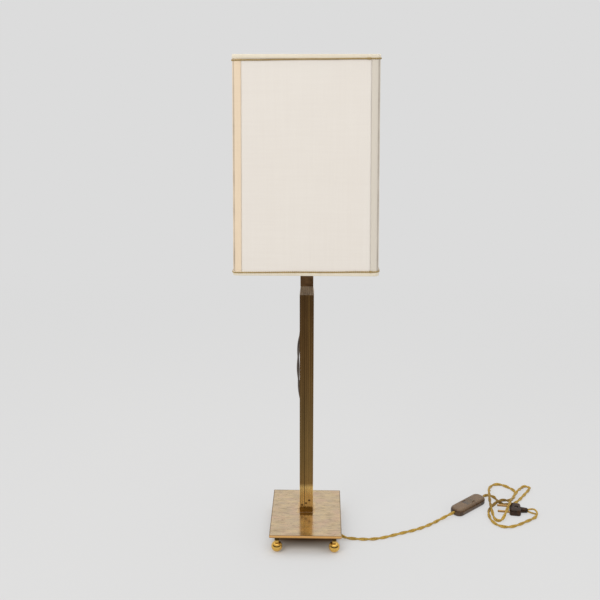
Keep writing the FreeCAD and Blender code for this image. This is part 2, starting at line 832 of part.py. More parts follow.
def wire_loop(wide, radius, z, diameter):
    """A closed square loop of round wire."""
    path = round_rectangle(wide, wide, radius, z)
    start = path.Edges[0].valueAt(path.Edges[0].FirstParameter)
    tangent = path.Edges[0].tangentAt(path.Edges[0].FirstParameter)
    ring = Part.Wire([Part.Circle(start, tangent, diameter / 2).toShape()])
    return path.makePipeShell([ring], True, False)


def shade_frame():
    ring_corner = max(shade_corner - frame_inset, frame_wire / 2 + least_bend)
    strut_in = frame_inset + ring_corner * (1 - math.sqrt(0.5))
    low = shade_bottom + hem_thick + frame_wire / 2
    high = shade_top - hem_thick - frame_wire / 2
    write("frame_ring_bottom",
          wire_loop(half_width(low) - frame_inset, ring_corner, low, frame_wire))
    write("frame_ring_top",
          wire_loop(half_width(high) - frame_inset, ring_corner, high, frame_wire))
    struts = []
    foot = low + frame_wire / 2 + seat_gap
    head = high - frame_wire / 2 - seat_gap
    for sx in (-1, 1):
        for sy in (-1, 1):
            a = half_width(foot) - strut_in
            b = half_width(head) - strut_in
            start = V(sx * a, sy * a, foot)
            way = V(sx * b, sy * b, head) - start
            struts.append(Part.makeCylinder(strut_wire / 2, way.Length, start, way))
    write("frame_struts", *struts)

    # The fitter: a ring on the lampholder and four arms out to the lower frame ring
    z = flange_top + seat_gap
    bore = holder_radius + thread_gap
    ring = pipe(fitter_radius, bore, z, z + fitter_thick)
    arms = []
    for i in range(4):
        start = V(bore + arm_overlap + arm_wire / 2, 0, z + fitter_thick / 2)
        end = V(half_width(low) - frame_inset, 0, low)
        arm = Part.makeCylinder(arm_wire / 2, (end - start).Length, start, end - start)
        arm = arm.common(box(0, shade_bottom_width, -arm_wire, arm_wire, shade_bottom, holder_top))
        arm = arm.cut(wire_loop(half_width(low) - frame_inset, ring_corner, low, frame_wire))
        arm = max(arm.Solids, key=lambda s: s.Volume)
        arm = arm.cut(rod(bore, 0, shade_top))
        reach = shade_bottom_width
        arm = arm.cut(box(-reach, reach, -reach, reach, z + fitter_thick, shade_top))
        arm = arm.cut(rod(flange_radius + past, 0, z))
        arm.rotate(V(0, 0, 0), V(0, 0, 1), 90 * i)
        arms.append(arm)
    write("shade_fitter", ring.fuse(arms).removeSplitter())


def in_switch(shape):
    """Places a shape made along X about the origin at the switch's place."""
    shape.rotate(V(0, 0, 0), V(0, 0, 1), switch_angle)
    shape.translate(V(switch_centre[0], switch_centre[1], 0))
    return shape


def switch_body(shrink):
    """The switch's whole body as a rounded bar, made smaller all round by shrink."""
    half_l = switch_length / 2 - shrink
    half_w = switch_width / 2 - shrink
    body = prism(round_rectangle(half_l, half_w, switch_end_round - shrink, shrink),
                 switch_height - 2 * shrink)
    top = [e for e in body.Edges if e.BoundBox.ZMin > switch_height - shrink - near]
    body = body.makeFillet(switch_edge_round - shrink, top)
    low = [e for e in body.Edges if e.BoundBox.ZMax < shrink + near]
    return body.makeFillet(switch_low_round - shrink, low)


def switch():
    middle = switch_height / 2
    half = switch_length / 2
    body = switch_body(0).cut(switch_body(switch_wall))
    for sx in (-1, 1):
        lane = Part.makeCylinder(flex_dia / 2 + fit_gap, flex_grip, V(sx * half, 0, middle),
                                 V(-sx, 0, 0))
        body = body.cut(lane)
    bosses = []
    for sx in (-1, 1):
        x = sx * switch_screw_at
        boss = rod(switch_boss_dia / 2, switch_wall - switch_boss_bite,
                   switch_height - switch_wall + switch_boss_bite, x, switch_screw_side)
        bosses.append(boss)
    whole = body.fuse(bosses).common(switch_body(0))
    hole_top = switch_height - switch_hole_cover
    for sx in (-1, 1):
        x = sx * switch_screw_at
        whole = whole.cut(rod(switch_screw_dia / 2, -past, hole_top, x, switch_screw_side))
    base = whole.common(box(-half, half, -switch_width, switch_width, 0, middle))
    cover = whole.common(box(-half, half, -switch_width, switch_width, middle, switch_height))

    screws = []
    for sx in (-1, 1):
        x = sx * switch_screw_at
        y = switch_screw_side
        base = base.cut(rod(switch_screw_head / 2 + switch_head_gap, -past,
                            switch_head_high, x, y))
        head = rod(switch_screw_head / 2, switch_head_low, switch_head_high, x, y)
        slot = box(x - switch_screw_head, x + switch_screw_head, y - cup_slot_width / 2,
                   y + cup_slot_width / 2, 0, switch_head_low + switch_slot_depth)
        shank = rod(switch_screw_dia / 2, switch_head_high - switch_boss_bite,
                    hole_top - switch_screw_short, x, y)
        screws.append(head.fuse(shank).removeSplitter().cut(slot))

    # The rocker's window, and two ears that carry its pin
    turn = math.radians(rocker_tilt)
    reach = rocker_length / 2 * math.cos(turn) + rocker_crest * math.sin(turn) + rocker_gap
    side = rocker_width / 2 + rocker_gap
    ears = []
    for sy in (-1, 1):
        ears.append(box(-ear_half_length, ear_half_length, min(sy * side, sy * (side + ear_thick)),
                        max(sy * side, sy * (side + ear_thick)),
                        rocker_pivot_height - ear_below, switch_height - ear_top_gap))
    cover = cover.fuse(ears).removeSplitter()
    cover = cover.cut(box(-reach, reach, -side, side, middle - past, switch_height + past))
    pin_half = side + ear_pin_depth
    pin_hole = Part.makeCylinder(rocker_pin_dia / 2, 2 * pin_half,
                                 V(0, -pin_half, rocker_pivot_height), V(0, 1, 0))
    cover = cover.cut(pin_hole)
    write("switch_base", in_switch(base))
    write("switch_cover", in_switch(cover))
    write("switch_screws", *[in_switch(s) for s in screws])
    write("switch_pin", in_switch(pin_hole.copy()))

    # The rocker: two faces that meet in a shallow valley over the pin
    h = rocker_length / 2
    outline = [(-h, rocker_crest), (0, rocker_crest - rocker_valley), (h, rocker_crest),
               (h, rocker_end), (rocker_belly_half, -rocker_belly),
               (-rocker_belly_half, -rocker_belly), (-h, rocker_end)]
    face = Part.Face(polygon([(x, -rocker_width / 2, z) for x, z in outline]))
    rocker = face.extrude(V(0, rocker_width, 0))
    crests = [e for e in rocker.Edges if e.BoundBox.ZMin > rocker_crest - near
              and e.BoundBox.YMax - e.BoundBox.YMin > near]
    rocker = rocker.makeFillet(rocker_crest_round, crests)
    bore = Part.makeCylinder(rocker_pin_dia / 2 + fit_gap, rocker_width + 2 * past,
                             V(0, -rocker_width / 2 - past, 0), V(0, 1, 0))
    rocker = rocker.cut(bore)
    rocker.rotate(V(0, 0, 0), V(0, 1, 0), -rocker_tilt)
    rocker.translate(V(0, 0, rocker_pivot_height))
    write("switch_rocker", in_switch(rocker))

    blades = []
    for sx in (-1, 1):
        x = sx * blade_at
        low = box(x - blade_half_length, x + blade_half_length, -blade_half_width,
                  blade_half_width, switch_wall, switch_wall + blade_thick)
        stand = box(x - blade_thick / 2, x + blade_thick / 2, -blade_half_width,
                    blade_half_width, switch_wall, switch_wall + blade_height)
        blades.append(in_switch(low.fuse(stand).removeSplitter()))
    write("switch_contacts", *blades)


def in_plug(shape):
    """Places a shape whose tail is at the origin and whose pins point along +X."""
    shape.rotate(V(0, 0, 0), V(0, 0, 1), plug_angle)
    shape.translate(V(plug_tail[0], plug_tail[1], 0))
    return shape


def plug():
    middle = plug_height / 2
    head = plug_head_width / 2
    start = plug_length - plug_head_length
    outline = round_rectangle(plug_head_length / 2, head, plug_corner, 0)
    body = prism(outline, plug_height)
    body.translate(V(plug_length - plug_head_length / 2, 0, 0))
    rims = [e for e in body.Edges if e.BoundBox.ZMax - e.BoundBox.ZMin < near]
    body = body.makeFillet(plug_edge_round, rims)
    tail = Part.makeCone(plug_tail_dia / 2 - plug_tail_in, plug_tail_dia / 2 + plug_tail_out,
                         start + plug_tail_root, V(0, 0, middle), V(1, 0, 0))
    end = [e for e in tail.Edges if e.BoundBox.XMax < near]
    body = body.fuse(tail.makeFillet(plug_tail_round, end)).removeSplitter()
    lane = Part.makeCylinder(flex_dia / 2 + fit_gap, flex_grip, V(0, 0, middle), V(1, 0, 0))
    body = body.cut(lane)
    pins = []
    for sy in (-1, 1):
        y = sy * pin_spacing / 2
        root = plug_length - pin_root
        pin = Part.makeCylinder(pin_dia / 2, pin_length, V(plug_length, y, middle), V(1, 0, 0))
        tip = [e for e in pin.Edges if e.BoundBox.XMin > plug_length + pin_length - near]
        pin = pin.makeFillet(pin_dia / 2 - pin_tip_flat, tip)
        held = Part.makeCylinder(pin_root_dia / 2, pin_root, V(root, y, middle), V(1, 0, 0))
        body = body.cut(held)
        pins.append(pin.fuse(held).removeSplitter())
    at = plug_length - plug_head_length * plug_screw_share
    head_low = plug_height - plug_head_low
    head_high = plug_height - plug_head_high
    shank = rod(plug_screw_dia / 2, plug_screw_low, head_high - plug_slot_depth, at, 0)
    screw = rod(plug_screw_dia, head_low, head_high, at, 0).fuse(shank)
    slot = box(at - 2 * plug_screw_dia, at + 2 * plug_screw_dia, -plug_slot_width / 2,
               plug_slot_width / 2, head_high - plug_slot_depth, plug_height)
    recess = rod(plug_screw_dia, head_low, plug_height + past, at, 0)
    body = body.cut([shank, recess])
    base = body.common(box(0, plug_length, -head, head, 0, middle))
    cover = body.common(box(0, plug_length, -head, head, middle, plug_height))
    write("plug_base", in_plug(base))
    write("plug_cover", in_plug(cover))
    write("plug_pins", *[in_plug(p) for p in pins])
    write("plug_screw", in_plug(screw.removeSplitter().cut(slot)))


def flexes():
    start = along(block_start + block_length + fit_gap, exit_height)
    grip_in = switch_length / 2 - flex_grip
    entry = in_switch(Part.Vertex(-grip_in, 0, switch_height / 2)).Point
    leave = in_switch(Part.Vertex(grip_in, 0, switch_height / 2)).Point
    tail = in_plug(Part.Vertex(flex_grip, 0, plug_height / 2)).Point
    write("flex_to_switch", tube("flex_to_switch", [tuple(start)] + table_flex
                                 + [tuple(entry)], flex_dia))
    write("flex_to_plug", tube("flex_to_plug", [tuple(leave)] + plug_flex + [tuple(tail)],
                               flex_dia))
    low = (0.0, 0.0, exit_height + block_height / 2 + fit_gap)
    high = (0.0, 0.0, cap_top + holder_lip + insulator_wire_hole - fit_gap)
    write("riser_flex", tube("riser_flex", [low] + riser_flex + [high], riser_dia))


base_plate()
ball_feet()
column_pieces()
foot_screws()
wiring_cup()
lampholder()
shade_fabric()
shade_frame()
switch()
plug()
flexes()
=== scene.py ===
# %% [markdown]
# # A column table lamp
#
# The lamp has a reeded brass column on a brass plate, four ball feet, a tall box shade of
# cloth on a wire frame, and a twisted flex with a switch and a plug. The hard pieces come
# from the CAD model at their true size and place. This script gives them their finish,
# and makes the soft pieces, which no CAD solid can show: the cloth, its binding and
# piping, and the flex.
#
# Everything is in metres. The origin is on the column's axis at the table, +Z is up and
# -Y is the front.

# %% Tools and the CAD model
import math

import bmesh
import bpy
from mathutils import Matrix, Vector, noise


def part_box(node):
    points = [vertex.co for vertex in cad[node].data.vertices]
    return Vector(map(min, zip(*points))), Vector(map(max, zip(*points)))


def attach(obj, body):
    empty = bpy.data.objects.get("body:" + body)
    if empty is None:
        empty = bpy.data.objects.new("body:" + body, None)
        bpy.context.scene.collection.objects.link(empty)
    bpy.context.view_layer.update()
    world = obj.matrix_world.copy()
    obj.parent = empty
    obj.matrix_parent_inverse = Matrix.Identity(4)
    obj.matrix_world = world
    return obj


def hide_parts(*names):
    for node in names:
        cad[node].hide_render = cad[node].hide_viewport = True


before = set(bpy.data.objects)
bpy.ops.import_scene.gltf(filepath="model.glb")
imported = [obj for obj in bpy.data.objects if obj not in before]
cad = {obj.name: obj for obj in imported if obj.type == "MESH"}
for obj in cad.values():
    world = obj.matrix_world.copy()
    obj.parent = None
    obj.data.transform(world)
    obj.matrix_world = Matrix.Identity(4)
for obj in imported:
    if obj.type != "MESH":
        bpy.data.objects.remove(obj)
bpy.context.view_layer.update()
mm = 0.001
up = Vector((0, 0, 1))


def placed(name, data):
    """A new object in the scene that shows this data."""
    made = bpy.data.objects.new(name, data)
    bpy.context.scene.collection.objects.link(made)
    return made


# %% [markdown]
# ## The camera
#
# The camera comes first, so that each render can be laid beside the photograph. Its
# place and tilt were found from the perspective: the top of the base plate shows, and
# the shade's edges draw together a little towards the top. A 50 mm lens on a 36 mm wide
# sensor gives that perspective.

# %% Camera
camera_place = Vector((0.02103, -1.19332, 0.72735))
camera_down = math.radians(16.2066)
camera_left = math.radians(1.5036)

camera_data = bpy.data.cameras.new("camera")
camera_data.lens = 50
camera_data.sensor_width = 36
camera = placed("camera", camera_data)
camera.location = camera_place
camera.rotation_euler = (math.radians(90) - camera_down, 0, camera_left)
bpy.context.scene.camera = camera
print("camera at", camera_place[:])

# %% [markdown]
# ## Where the flex runs
#
# A flex is described by the line that it follows. These points, in millimetres, were
# chosen from the photograph, and they steer a smooth NURBS curve. The first list
# goes from the wiring cup under the plate to the switch. The second goes from the switch
# through the loose bundle to the plug, which lies under two of its loops. The third is
# the dark flex that rises to the lampholder. It shows where it comes out of the column's
# open slot and goes in again.

# %% Routes
to_switch = [
    (13.04, -10.19, 18), (31.9, -24.92, 18), (57.5, -38.4, 3.4), (78, -41, 2.7),
    (101, -41.8, 2.7), (122, -36.5, 2.7), (148, -24, 2.7), (176, -12, 2.7), (199, 3, 2.7),
    (216.5, 18, 3), (228, 25.2, 5.4), (238.5, 32.45, 6.5), (245.13, 38.53, 6.5),
]
to_plug = [
    (295.27, 84.47, 6.5), (301.9, 90.55, 6.5), (307, 98, 4.4), (313.2, 100.4, 2.8),
    (319.6, 96.8, 2.7), (322.6, 89.4, 2.7), (324.6, 80.2, 2.7), (330.4, 72.2, 2.7),
    (341, 70.2, 2.7), (352, 75, 2.7), (361.6, 86, 2.7), (370.4, 98.4, 2.7),
    (378.2, 109.6, 2.7), (384.4, 118.7, 2.7), (389.3, 126.8, 2.7), (387.9, 131.8, 2.7),
    (383.4, 134.4, 2.7), (378.4, 133, 2.8), (373.6, 123.6, 4.5), (364.8, 109.2, 9),
    (356.2, 94.8, 9.2), (348.8, 78.6, 10.6), (341.2, 61, 15.6), (333.5, 43.5, 15.4),
    (325.6, 29, 8.4), (318.8, 19.8, 3.2), (312.9, 18.4, 2.7), (308.3, 22.2, 2.7),
    (307.2, 34.2, 3.4), (306.8, 50, 8.8), (308.2, 70, 9.2), (311.4, 92, 10),
    (315, 112, 8.2), (320, 129, 2.8), (329.5, 140, 2.7), (341, 140, 2.7), (352, 130.6, 2.7),
    (360.6, 118.6, 2.7), (359.6, 106, 2.7), (354.2, 94.6, 2.7), (347.8, 87.2, 2.7),
    (341, 82, 3), (331.8, 76, 8.7), (320.6, 69.8, 8.7), (310.8, 63.4, 3), (303.2, 51, 2.7),
    (300.4, 36, 2.7), (301.2, 21, 2.7), (306, 8.4, 2.7), (316, 0.4, 2.7), (329, 0, 2.7),
    (344.5, 7.6, 2.7), (359, 18.4, 2.7), (370, 25.6, 2.7), (377.6, 32.2, 3.4),
    (380.2, 39.2, 4.6), (377.2, 45, 5.4), (370.6, 46.81, 5.5), (363.43, 47.82, 5.5),
]
riser = [
    (0, 0, 22.05), (0, 0, 61), (0.8, 3, 104), (-0.8, 8.5, 148), (-5.4, 14.2, 186),
    (-11, 16.2, 222), (-13.8, 16, 258), (-13.4, 16.3, 294), (-11.4, 16.5, 318),
    (-6.4, 15.2, 338), (-1.8, 10.8, 353), (0, 3, 367), (0.1, 0.3, 384), (0, -0.2, 416.5),
    (0, 0, 448.45),
]

routes = {"to_switch": to_switch, "to_plug": to_plug, "riser": riser}
print({name: len(points) for name, points in routes.items()}, "points")

# %% [markdown]
# ## From a route to a centre line
#
# A NURBS curve of order 3 touches the middle of each run between its points, so it bends
# as a real flex does, with no sudden corner. Its order is set after the points are
# added, because Blender lowers it to 2 on a spline that has too few points. The mesh made
# from a curve with no thickness is the centre line itself. A second pass spaces its
# points evenly, because a twist needs equal steps.

# %% Centre lines
def curve_mesh(kind, points, **settings):
    """The mesh that a curve with these points gives."""
    curve = bpy.data.curves.new("curve", "CURVE")
    curve.dimensions = "3D"
    for key, value in settings.items():
        setattr(curve, key, value)
    spline = curve.splines.new(kind)
    spline.points.add(len(points) - 1)
    for point, place in zip(spline.points, points):
        point.co = (*place, 1)
    if kind == "NURBS":
        spline.order_u = 3
        spline.use_endpoint_u = True
        spline.resolution_u = 24
    holder = placed("curve", curve)
    mesh = bpy.data.meshes.new_from_object(holder)
    bpy.data.objects.remove(holder)
    bpy.data.curves.remove(curve)
    return mesh


def centre_line(points):
    """Points along the smooth curve that has these control points, in metres."""
    mesh = curve_mesh("NURBS", [[c * mm for c in point] for point in points])
    line = [v.co.copy() for v in mesh.vertices]
    bpy.data.meshes.remove(mesh)
    return line


def line_length(line):
    return sum((b - a).length for a, b in zip(line, line[1:]))


def even_steps(line, step):
    """The same line with its points a fixed step apart."""
    whole = line_length(line)
    count = max(2, round(whole / step))
    spaced = [line[0].copy()]
    passed = 0.0
    wanted = whole / count
    for a, b in zip(line, line[1:]):
        run = (b - a).length
        while passed + run >= wanted - 1e-9 and len(spaced) < count:
            spaced.append(a.lerp(b, (wanted - passed) / run))
            wanted += whole / count
        passed += run
    return spaced + [line[-1].copy()]


strand_step = 1.1 * mm
lines = {name: even_steps(centre_line(points), strand_step)
         for name, points in routes.items()}
for name, line in lines.items():
    print(name, "is %.3f m long" % line_length(line))

# %% [markdown]
# ## Twisting two wires together
#
# The flex is two silk-covered wires laid round each other, and its outline swells and
# narrows as they turn. Each wire follows a helix about the centre line. A frame that
# slides along the line without spinning carries the helix, so that bends add no false
# twist. The vertices of a bevelled curve come ring by ring, so a UV map that runs along
# and round the wire, for the braid, can be written from their order.

# %% Twisted wires
def carried_frames(line):
    """A direction across the line at each point, carried along without spinning."""
    heading = (line[1] - line[0]).normalized()
    across = heading.cross(up)
    across = across.normalized() if across.length > 0.1 else Vector((1, 0, 0))
    frames = []
    for i, point in enumerate(line):
        ahead = line[min(i + 1, len(line) - 1)] - line[max(i - 1, 0)]
        ahead.normalize()
        across = (across - ahead * across.dot(ahead)).normalized()
        frames.append((point, ahead, across))
    return frames


def round_wire(points, radius, roundness=2):
    """A mesh tube through the points, with UVs in metres along and turns round."""
    mesh = curve_mesh("POLY", points, bevel_depth=radius, bevel_resolution=roundness,
                      use_fill_caps=True)
    ring = len(mesh.vertices) // len(points)
    passed = [0.0]
    for a, b in zip(points, points[1:]):
        passed.append(passed[-1] + (b - a).length)
    map_ = mesh.uv_layers.get("UVMap") or mesh.uv_layers.new(name="UVMap")
    for face in mesh.polygons:
        turns = [(mesh.loops[i].vertex_index % ring) / ring for i in face.loop_indices]
        wraps = max(turns) - min(turns) > 0.5
        for i, turn in zip(face.loop_indices, turns):
            along = passed[min(mesh.loops[i].vertex_index // ring, len(passed) - 1)]
            map_.data[i].uv = (turn + 1 if wraps and turn < 0.5 else turn, along)
        face.use_smooth = True
    bulge = mesh.attributes.new("bulge", "FLOAT", "POINT")
    bulge.data.foreach_set("value", [1.0] * len(mesh.vertices))
    return mesh


def add_piece(name, mesh, body):
    """Puts a mesh in the scene as a piece that moves with a body."""
    piece = placed(name, mesh)
    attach(piece, body)
    return piece


def joined(meshes, name):
    """One mesh out of several."""
    bm = bmesh.new()
    for mesh in meshes:
        bm.from_mesh(mesh)
        bpy.data.meshes.remove(mesh)
    mesh = bpy.data.meshes.new(name)
    bm.to_mesh(mesh)
    bm.free()
    return mesh


def twisted(line, wire_dia, reach, lay, start_turn, spread=None):
    """Two wires twisted about a line, with their centres a small reach off it.

    spread gives the extra room between them, and their turn, by the distance passed. The
    attribute bulge is 1 on the outside and falls towards the groove between the wires.
    """
    frames = carried_frames(line)
    meshes = []
    for side in (0, math.pi):
        points = []
        passed = 0.0
        for i, (point, ahead, across) in enumerate(frames):
            if i:
                passed += (point - frames[i - 1][0]).length
            extra, turn = spread(passed) if spread else (0.0, passed / lay * math.tau)
            angle = turn + start_turn + side
            way = across * math.cos(angle) + ahead.cross(across) * math.sin(angle)
            points.append(point + way * (reach + extra))
        mesh = round_wire(points, wire_dia / 2)
        ring = len(mesh.vertices) // len(points)
        bulge = mesh.attributes["bulge"].data
        for vert in mesh.vertices:
            centre = frames[min(vert.index // ring, len(frames) - 1)][0]
            bulge[vert.index].value = (vert.co - centre).length / (reach + wire_dia / 2)
        meshes.append(mesh)
    return meshes


# %% [markdown]
# ## The flex on the table
#
# The pair is 5.2 mm across. Soft wires press into each other where they meet, so each is
# drawn 3 mm thick with its centre 1.1 mm off the line. The bulges in the photograph are
# about 17 mm apart, which is half of one full turn. Just before the plug the wires part
# and leave a small eye between them, so the last stretch stops turning and opens out.

# %% The gold flex
flex_dia = 5.2 * mm
gold_wire = 3.0 * mm
flex_lay = 34 * mm
eye_length = 24 * mm
eye_opening = 2.4 * mm


def open_before_plug(passed, whole=line_length(lines["to_plug"])):
    """How far the wires part, and how far they have turned, at a distance."""
    left = whole - passed
    turning = min(passed, whole - eye_length)
    share = max(0.0, min(1.0, (eye_length - left) / eye_length))
    return eye_opening * math.sin(math.pi * share) ** 2, turning / flex_lay * math.tau


flex_pieces = {}
for name, start_turn, spread in (("to_switch", 0.4, None), ("to_plug", 1.2, open_before_plug)):
    meshes = twisted(lines[name], gold_wire, (flex_dia - gold_wire) / 2, flex_lay,
                     start_turn, spread)
    flex_pieces[name] = add_piece("flex_" + name, joined(meshes, "flex_" + name),
                                  "stand")
    print(name, len(flex_pieces[name].data.polygons), "faces")

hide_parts("flex_to_switch")
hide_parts("flex_to_plug")
line_length(lines["to_switch"])
line_length(lines["to_plug"])

# %% [markdown]
# ## The flex up to the lampholder
#
# The upper flex is thinner and dark. It is held at both ends, in the terminal block and
# in the lampholder, so it isn't a free cord and is only modelled.

# %% The dark flex
riser_dia = 4.4 * mm
dark_wire = 2.5 * mm
riser_lay = 72 * mm
riser_mesh = joined(twisted(lines["riser"], dark_wire, (riser_dia - dark_wire) / 2, riser_lay,
                            0.6), "riser_wires")
riser_wires = add_piece("riser_wires", riser_mesh, "stand")
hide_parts("riser_flex")
print("riser_wires", len(riser_mesh.polygons), "faces")

# %% [markdown]
# ## Writing a finish as plain sums
#
# A finish is a network of nodes, and two small classes do the wiring. Wire holds one
# output, and each sum with it makes a Math node. Finish holds one material, and its node
# method makes any other node from its type, its settings and its sockets.

# %% Wires and finishes
class Wire:
    """An output of a node, used in expressions."""

    def __init__(self, finish, socket):
        self.finish = finish
        self.socket = socket

    def maths(self, operation, *values):
        return self.finish.node("Math", {"operation": operation}, dict(enumerate(values)))

    def __add__(self, other):
        return self.maths("ADD", self, other)

    def __sub__(self, other):
        return self.maths("SUBTRACT", self, other)

    def __rsub__(self, other):
        return self.maths("SUBTRACT", other, self)

    def __mul__(self, other):
        return self.maths("MULTIPLY", self, other)

    def size(self):
        return self.maths("ABSOLUTE", self)

    def larger(self, other):
        return self.maths("MAXIMUM", self, other)

    def wave(self):
        return self.maths("SINE", self)

    def held(self):
        """Kept between 0 and 1."""
        return self.maths("MINIMUM", self.maths("MAXIMUM", self, 0.0), 1.0)

    __radd__ = __add__
    __rmul__ = __mul__


class Finish:
    """One material, built from a Principled shader."""

    def __init__(self, name, **constants):
        self.material = bpy.data.materials.new(name)
        self.material.use_nodes = True
        self.tree = self.material.node_tree
        self.shader = self.tree.nodes["Principled BSDF"]
        self.place = self.node("TexCoord", out="Object")  # in metres
        for socket, value in constants.items():
            self.shader.inputs[socket.replace("_", " ")].default_value = value

    def node(self, kind, settings=None, sockets=None, out=0):
        made = self.tree.nodes.new("ShaderNode" + kind)
        for key, value in (settings or {}).items():
            if key == "stops":
                for i, (place, colour) in enumerate(value):
                    stop = (made.color_ramp.elements[i] if i < 2
                            else made.color_ramp.elements.new(place))
                    stop.position = place
                    stop.color = colour
            else:
                setattr(made, key, value)
        for key, value in (sockets or {}).items():
            if isinstance(value, Wire):
                self.tree.links.new(value.socket, made.inputs[key])
            else:
                made.inputs[key].default_value = value
        return Wire(self, made.outputs[out])

    def part(self, axis, vector=None):
        """X, Y or Z of a vector, or else of the object coordinates."""
        return self.node("SeparateXYZ", {}, {0: vector or self.place}, axis)

    def noise(self, size, detail=3.0, rough=0.5, stretch=None, vector=None):
        """Cloudy noise, 0 to 1, with features of that size in metres."""
        vector = vector or self.place
        if stretch:
            vector = self.node("Mapping", {}, {0: vector, "Scale": stretch})
        return self.node("TexNoise", {}, {"Vector": vector, "Scale": 1 / size,
                                          "Detail": detail, "Roughness": rough})

    def between(self, value, low, high):
        """0 below low, 1 above high, and a straight rise between them."""
        return self.node("MapRange", {}, {0: value, 1: low, 2: high})

    def mix(self, share, first, second):
        return self.node("Mix", {"data_type": "RGBA"}, {0: share, 6: first, 7: second}, 2)

    def over(self, colour, mask, low, high, share, layer):
        """The colour with a layer on it, more of it as the mask goes from low to high."""
        return self.mix(self.between(mask, low, high) * share, colour, layer)

    def bump(self, height, depth):
        return self.node("Bump", {}, {"Height": height, "Distance": depth})

    def distance(self, point):
        """How far the place is from a point."""
        return self.node("VectorMath", {"operation": "DISTANCE"}, {0: self.place, 1: point}, 1)

    def outside(self, low, high):
        """How far out of a box's sides, seen from above. It is negative inside."""
        across = (self.part(0) - (low.x + high.x) / 2).size() - (high.x - low.x) / 2
        along = (self.part(1) - (low.y + high.y) / 2).size() - (high.y - low.y) / 2
        return across.larger(along)

    def drive(self, **sockets):
        for socket, wire in sockets.items():
            self.tree.links.new(wire.socket, self.shader.inputs[socket.replace("_", " ")])
        return self


def paint(red, green, blue):
    """A colour as seen on a screen, 0 to 255, turned into the shader's linear numbers."""
    def linear(value):
        value /= 255
        return value / 12.92 if value <= 0.04045 else ((value + 0.055) / 1.055) ** 2.4
    return (linear(red), linear(green), linear(blue), 1.0)


def darker(colour, share):
    return tuple(c * share for c in colour[:3]) + (1.0,)


def dress(finish, *pieces):
    """Gives the pieces that finish. A piece is an object or the name of a CAD node."""
    for piece in pieces:
        piece = cad[piece] if isinstance(piece, str) else piece
        piece.data.materials.clear()
        piece.data.materials.append(finish.material)


print("a mid grey is", tuple(round(c, 3) for c in paint(128, 128, 128)))

# %% [markdown]
# ## Brass that has been handled
#
# One function makes all the brass: a clean and an aged colour, mixed by cloudy noise,
# with fine dark specks where the lacquer has gone and a hair-fine grain in the roughness
# and the bump. The ball feet are polished bright, with necks darkened by painted shade
# under the plate. The neck above the column is dark with painted shade under the shade,
# the shoulder under it paler and dull with painted light from above, and the foot block
# brown with painted shade where it meets the plate.

# %% Brass
def brass(name, clean, aged, roughness, cloud=9 * mm, ages=(0.35, 0.7), dirt=0.3,
          painted_shade_above=None):
    finish = Finish(name, Metallic=1.0)
    cloudy = finish.noise(cloud, 5.0, 0.6)
    specks = finish.noise(1.1 * mm, 4.0, 0.7)
    fine = finish.noise(0.5 * mm, 3.0, 0.6)
    age = finish.between(cloudy * 0.8 + specks * 0.2, *ages)
    colour = finish.mix(age, clean, aged)
    colour = finish.over(colour, specks, 0.6, 0.74, dirt, darker(aged, 0.3))
    # painted shade: darker above this height, under the plate
    if painted_shade_above:
        colour = finish.over(colour, finish.part(2), painted_shade_above,
                             painted_shade_above + 3 * mm, 0.95, paint(44, 29, 12))
    return finish.drive(Base_Color=colour,
                        Roughness=(roughness + age * 0.1 + (fine - 0.5) * 0.08).held(),
                        Normal=finish.bump(fine, 0.004 * mm))


# above this height the feet's necks get painted shade from the plate over them
ball_neck = 17.5 * mm
dress(brass("polished_brass", paint(238, 192, 104), paint(206, 156, 76), 0.06, 5 * mm,
            (0.45, 0.85), 0.2),
      "terminal_poles", "holder_cap", "holder_shell", "centre_contact", "shade_ring",
      "switch_contacts")
dress(brass("feet_brass", paint(240, 196, 104), paint(200, 150, 66), 0.08, 4 * mm,
            (0.4, 0.8), 0.4, ball_neck), "ball_feet")
# painted shade and dark reflection: the neck under the shade is dark brown
dress(brass("neck_brass", paint(132, 102, 72), paint(88, 64, 42), 0.3), "neck_block")
# painted light from above: the shoulder is paler
dress(brass("shoulder_brass", paint(208, 190, 168), paint(172, 152, 130), 0.45),
      "shoulder_cap")
# painted shade where the foot block meets the plate
dress(brass("foot_brass", paint(138, 104, 48), paint(102, 75, 32), 0.16, dirt=0.4),
      "column_foot")
print("brass finishes", [m.name for m in bpy.data.materials if "brass" in m.name])
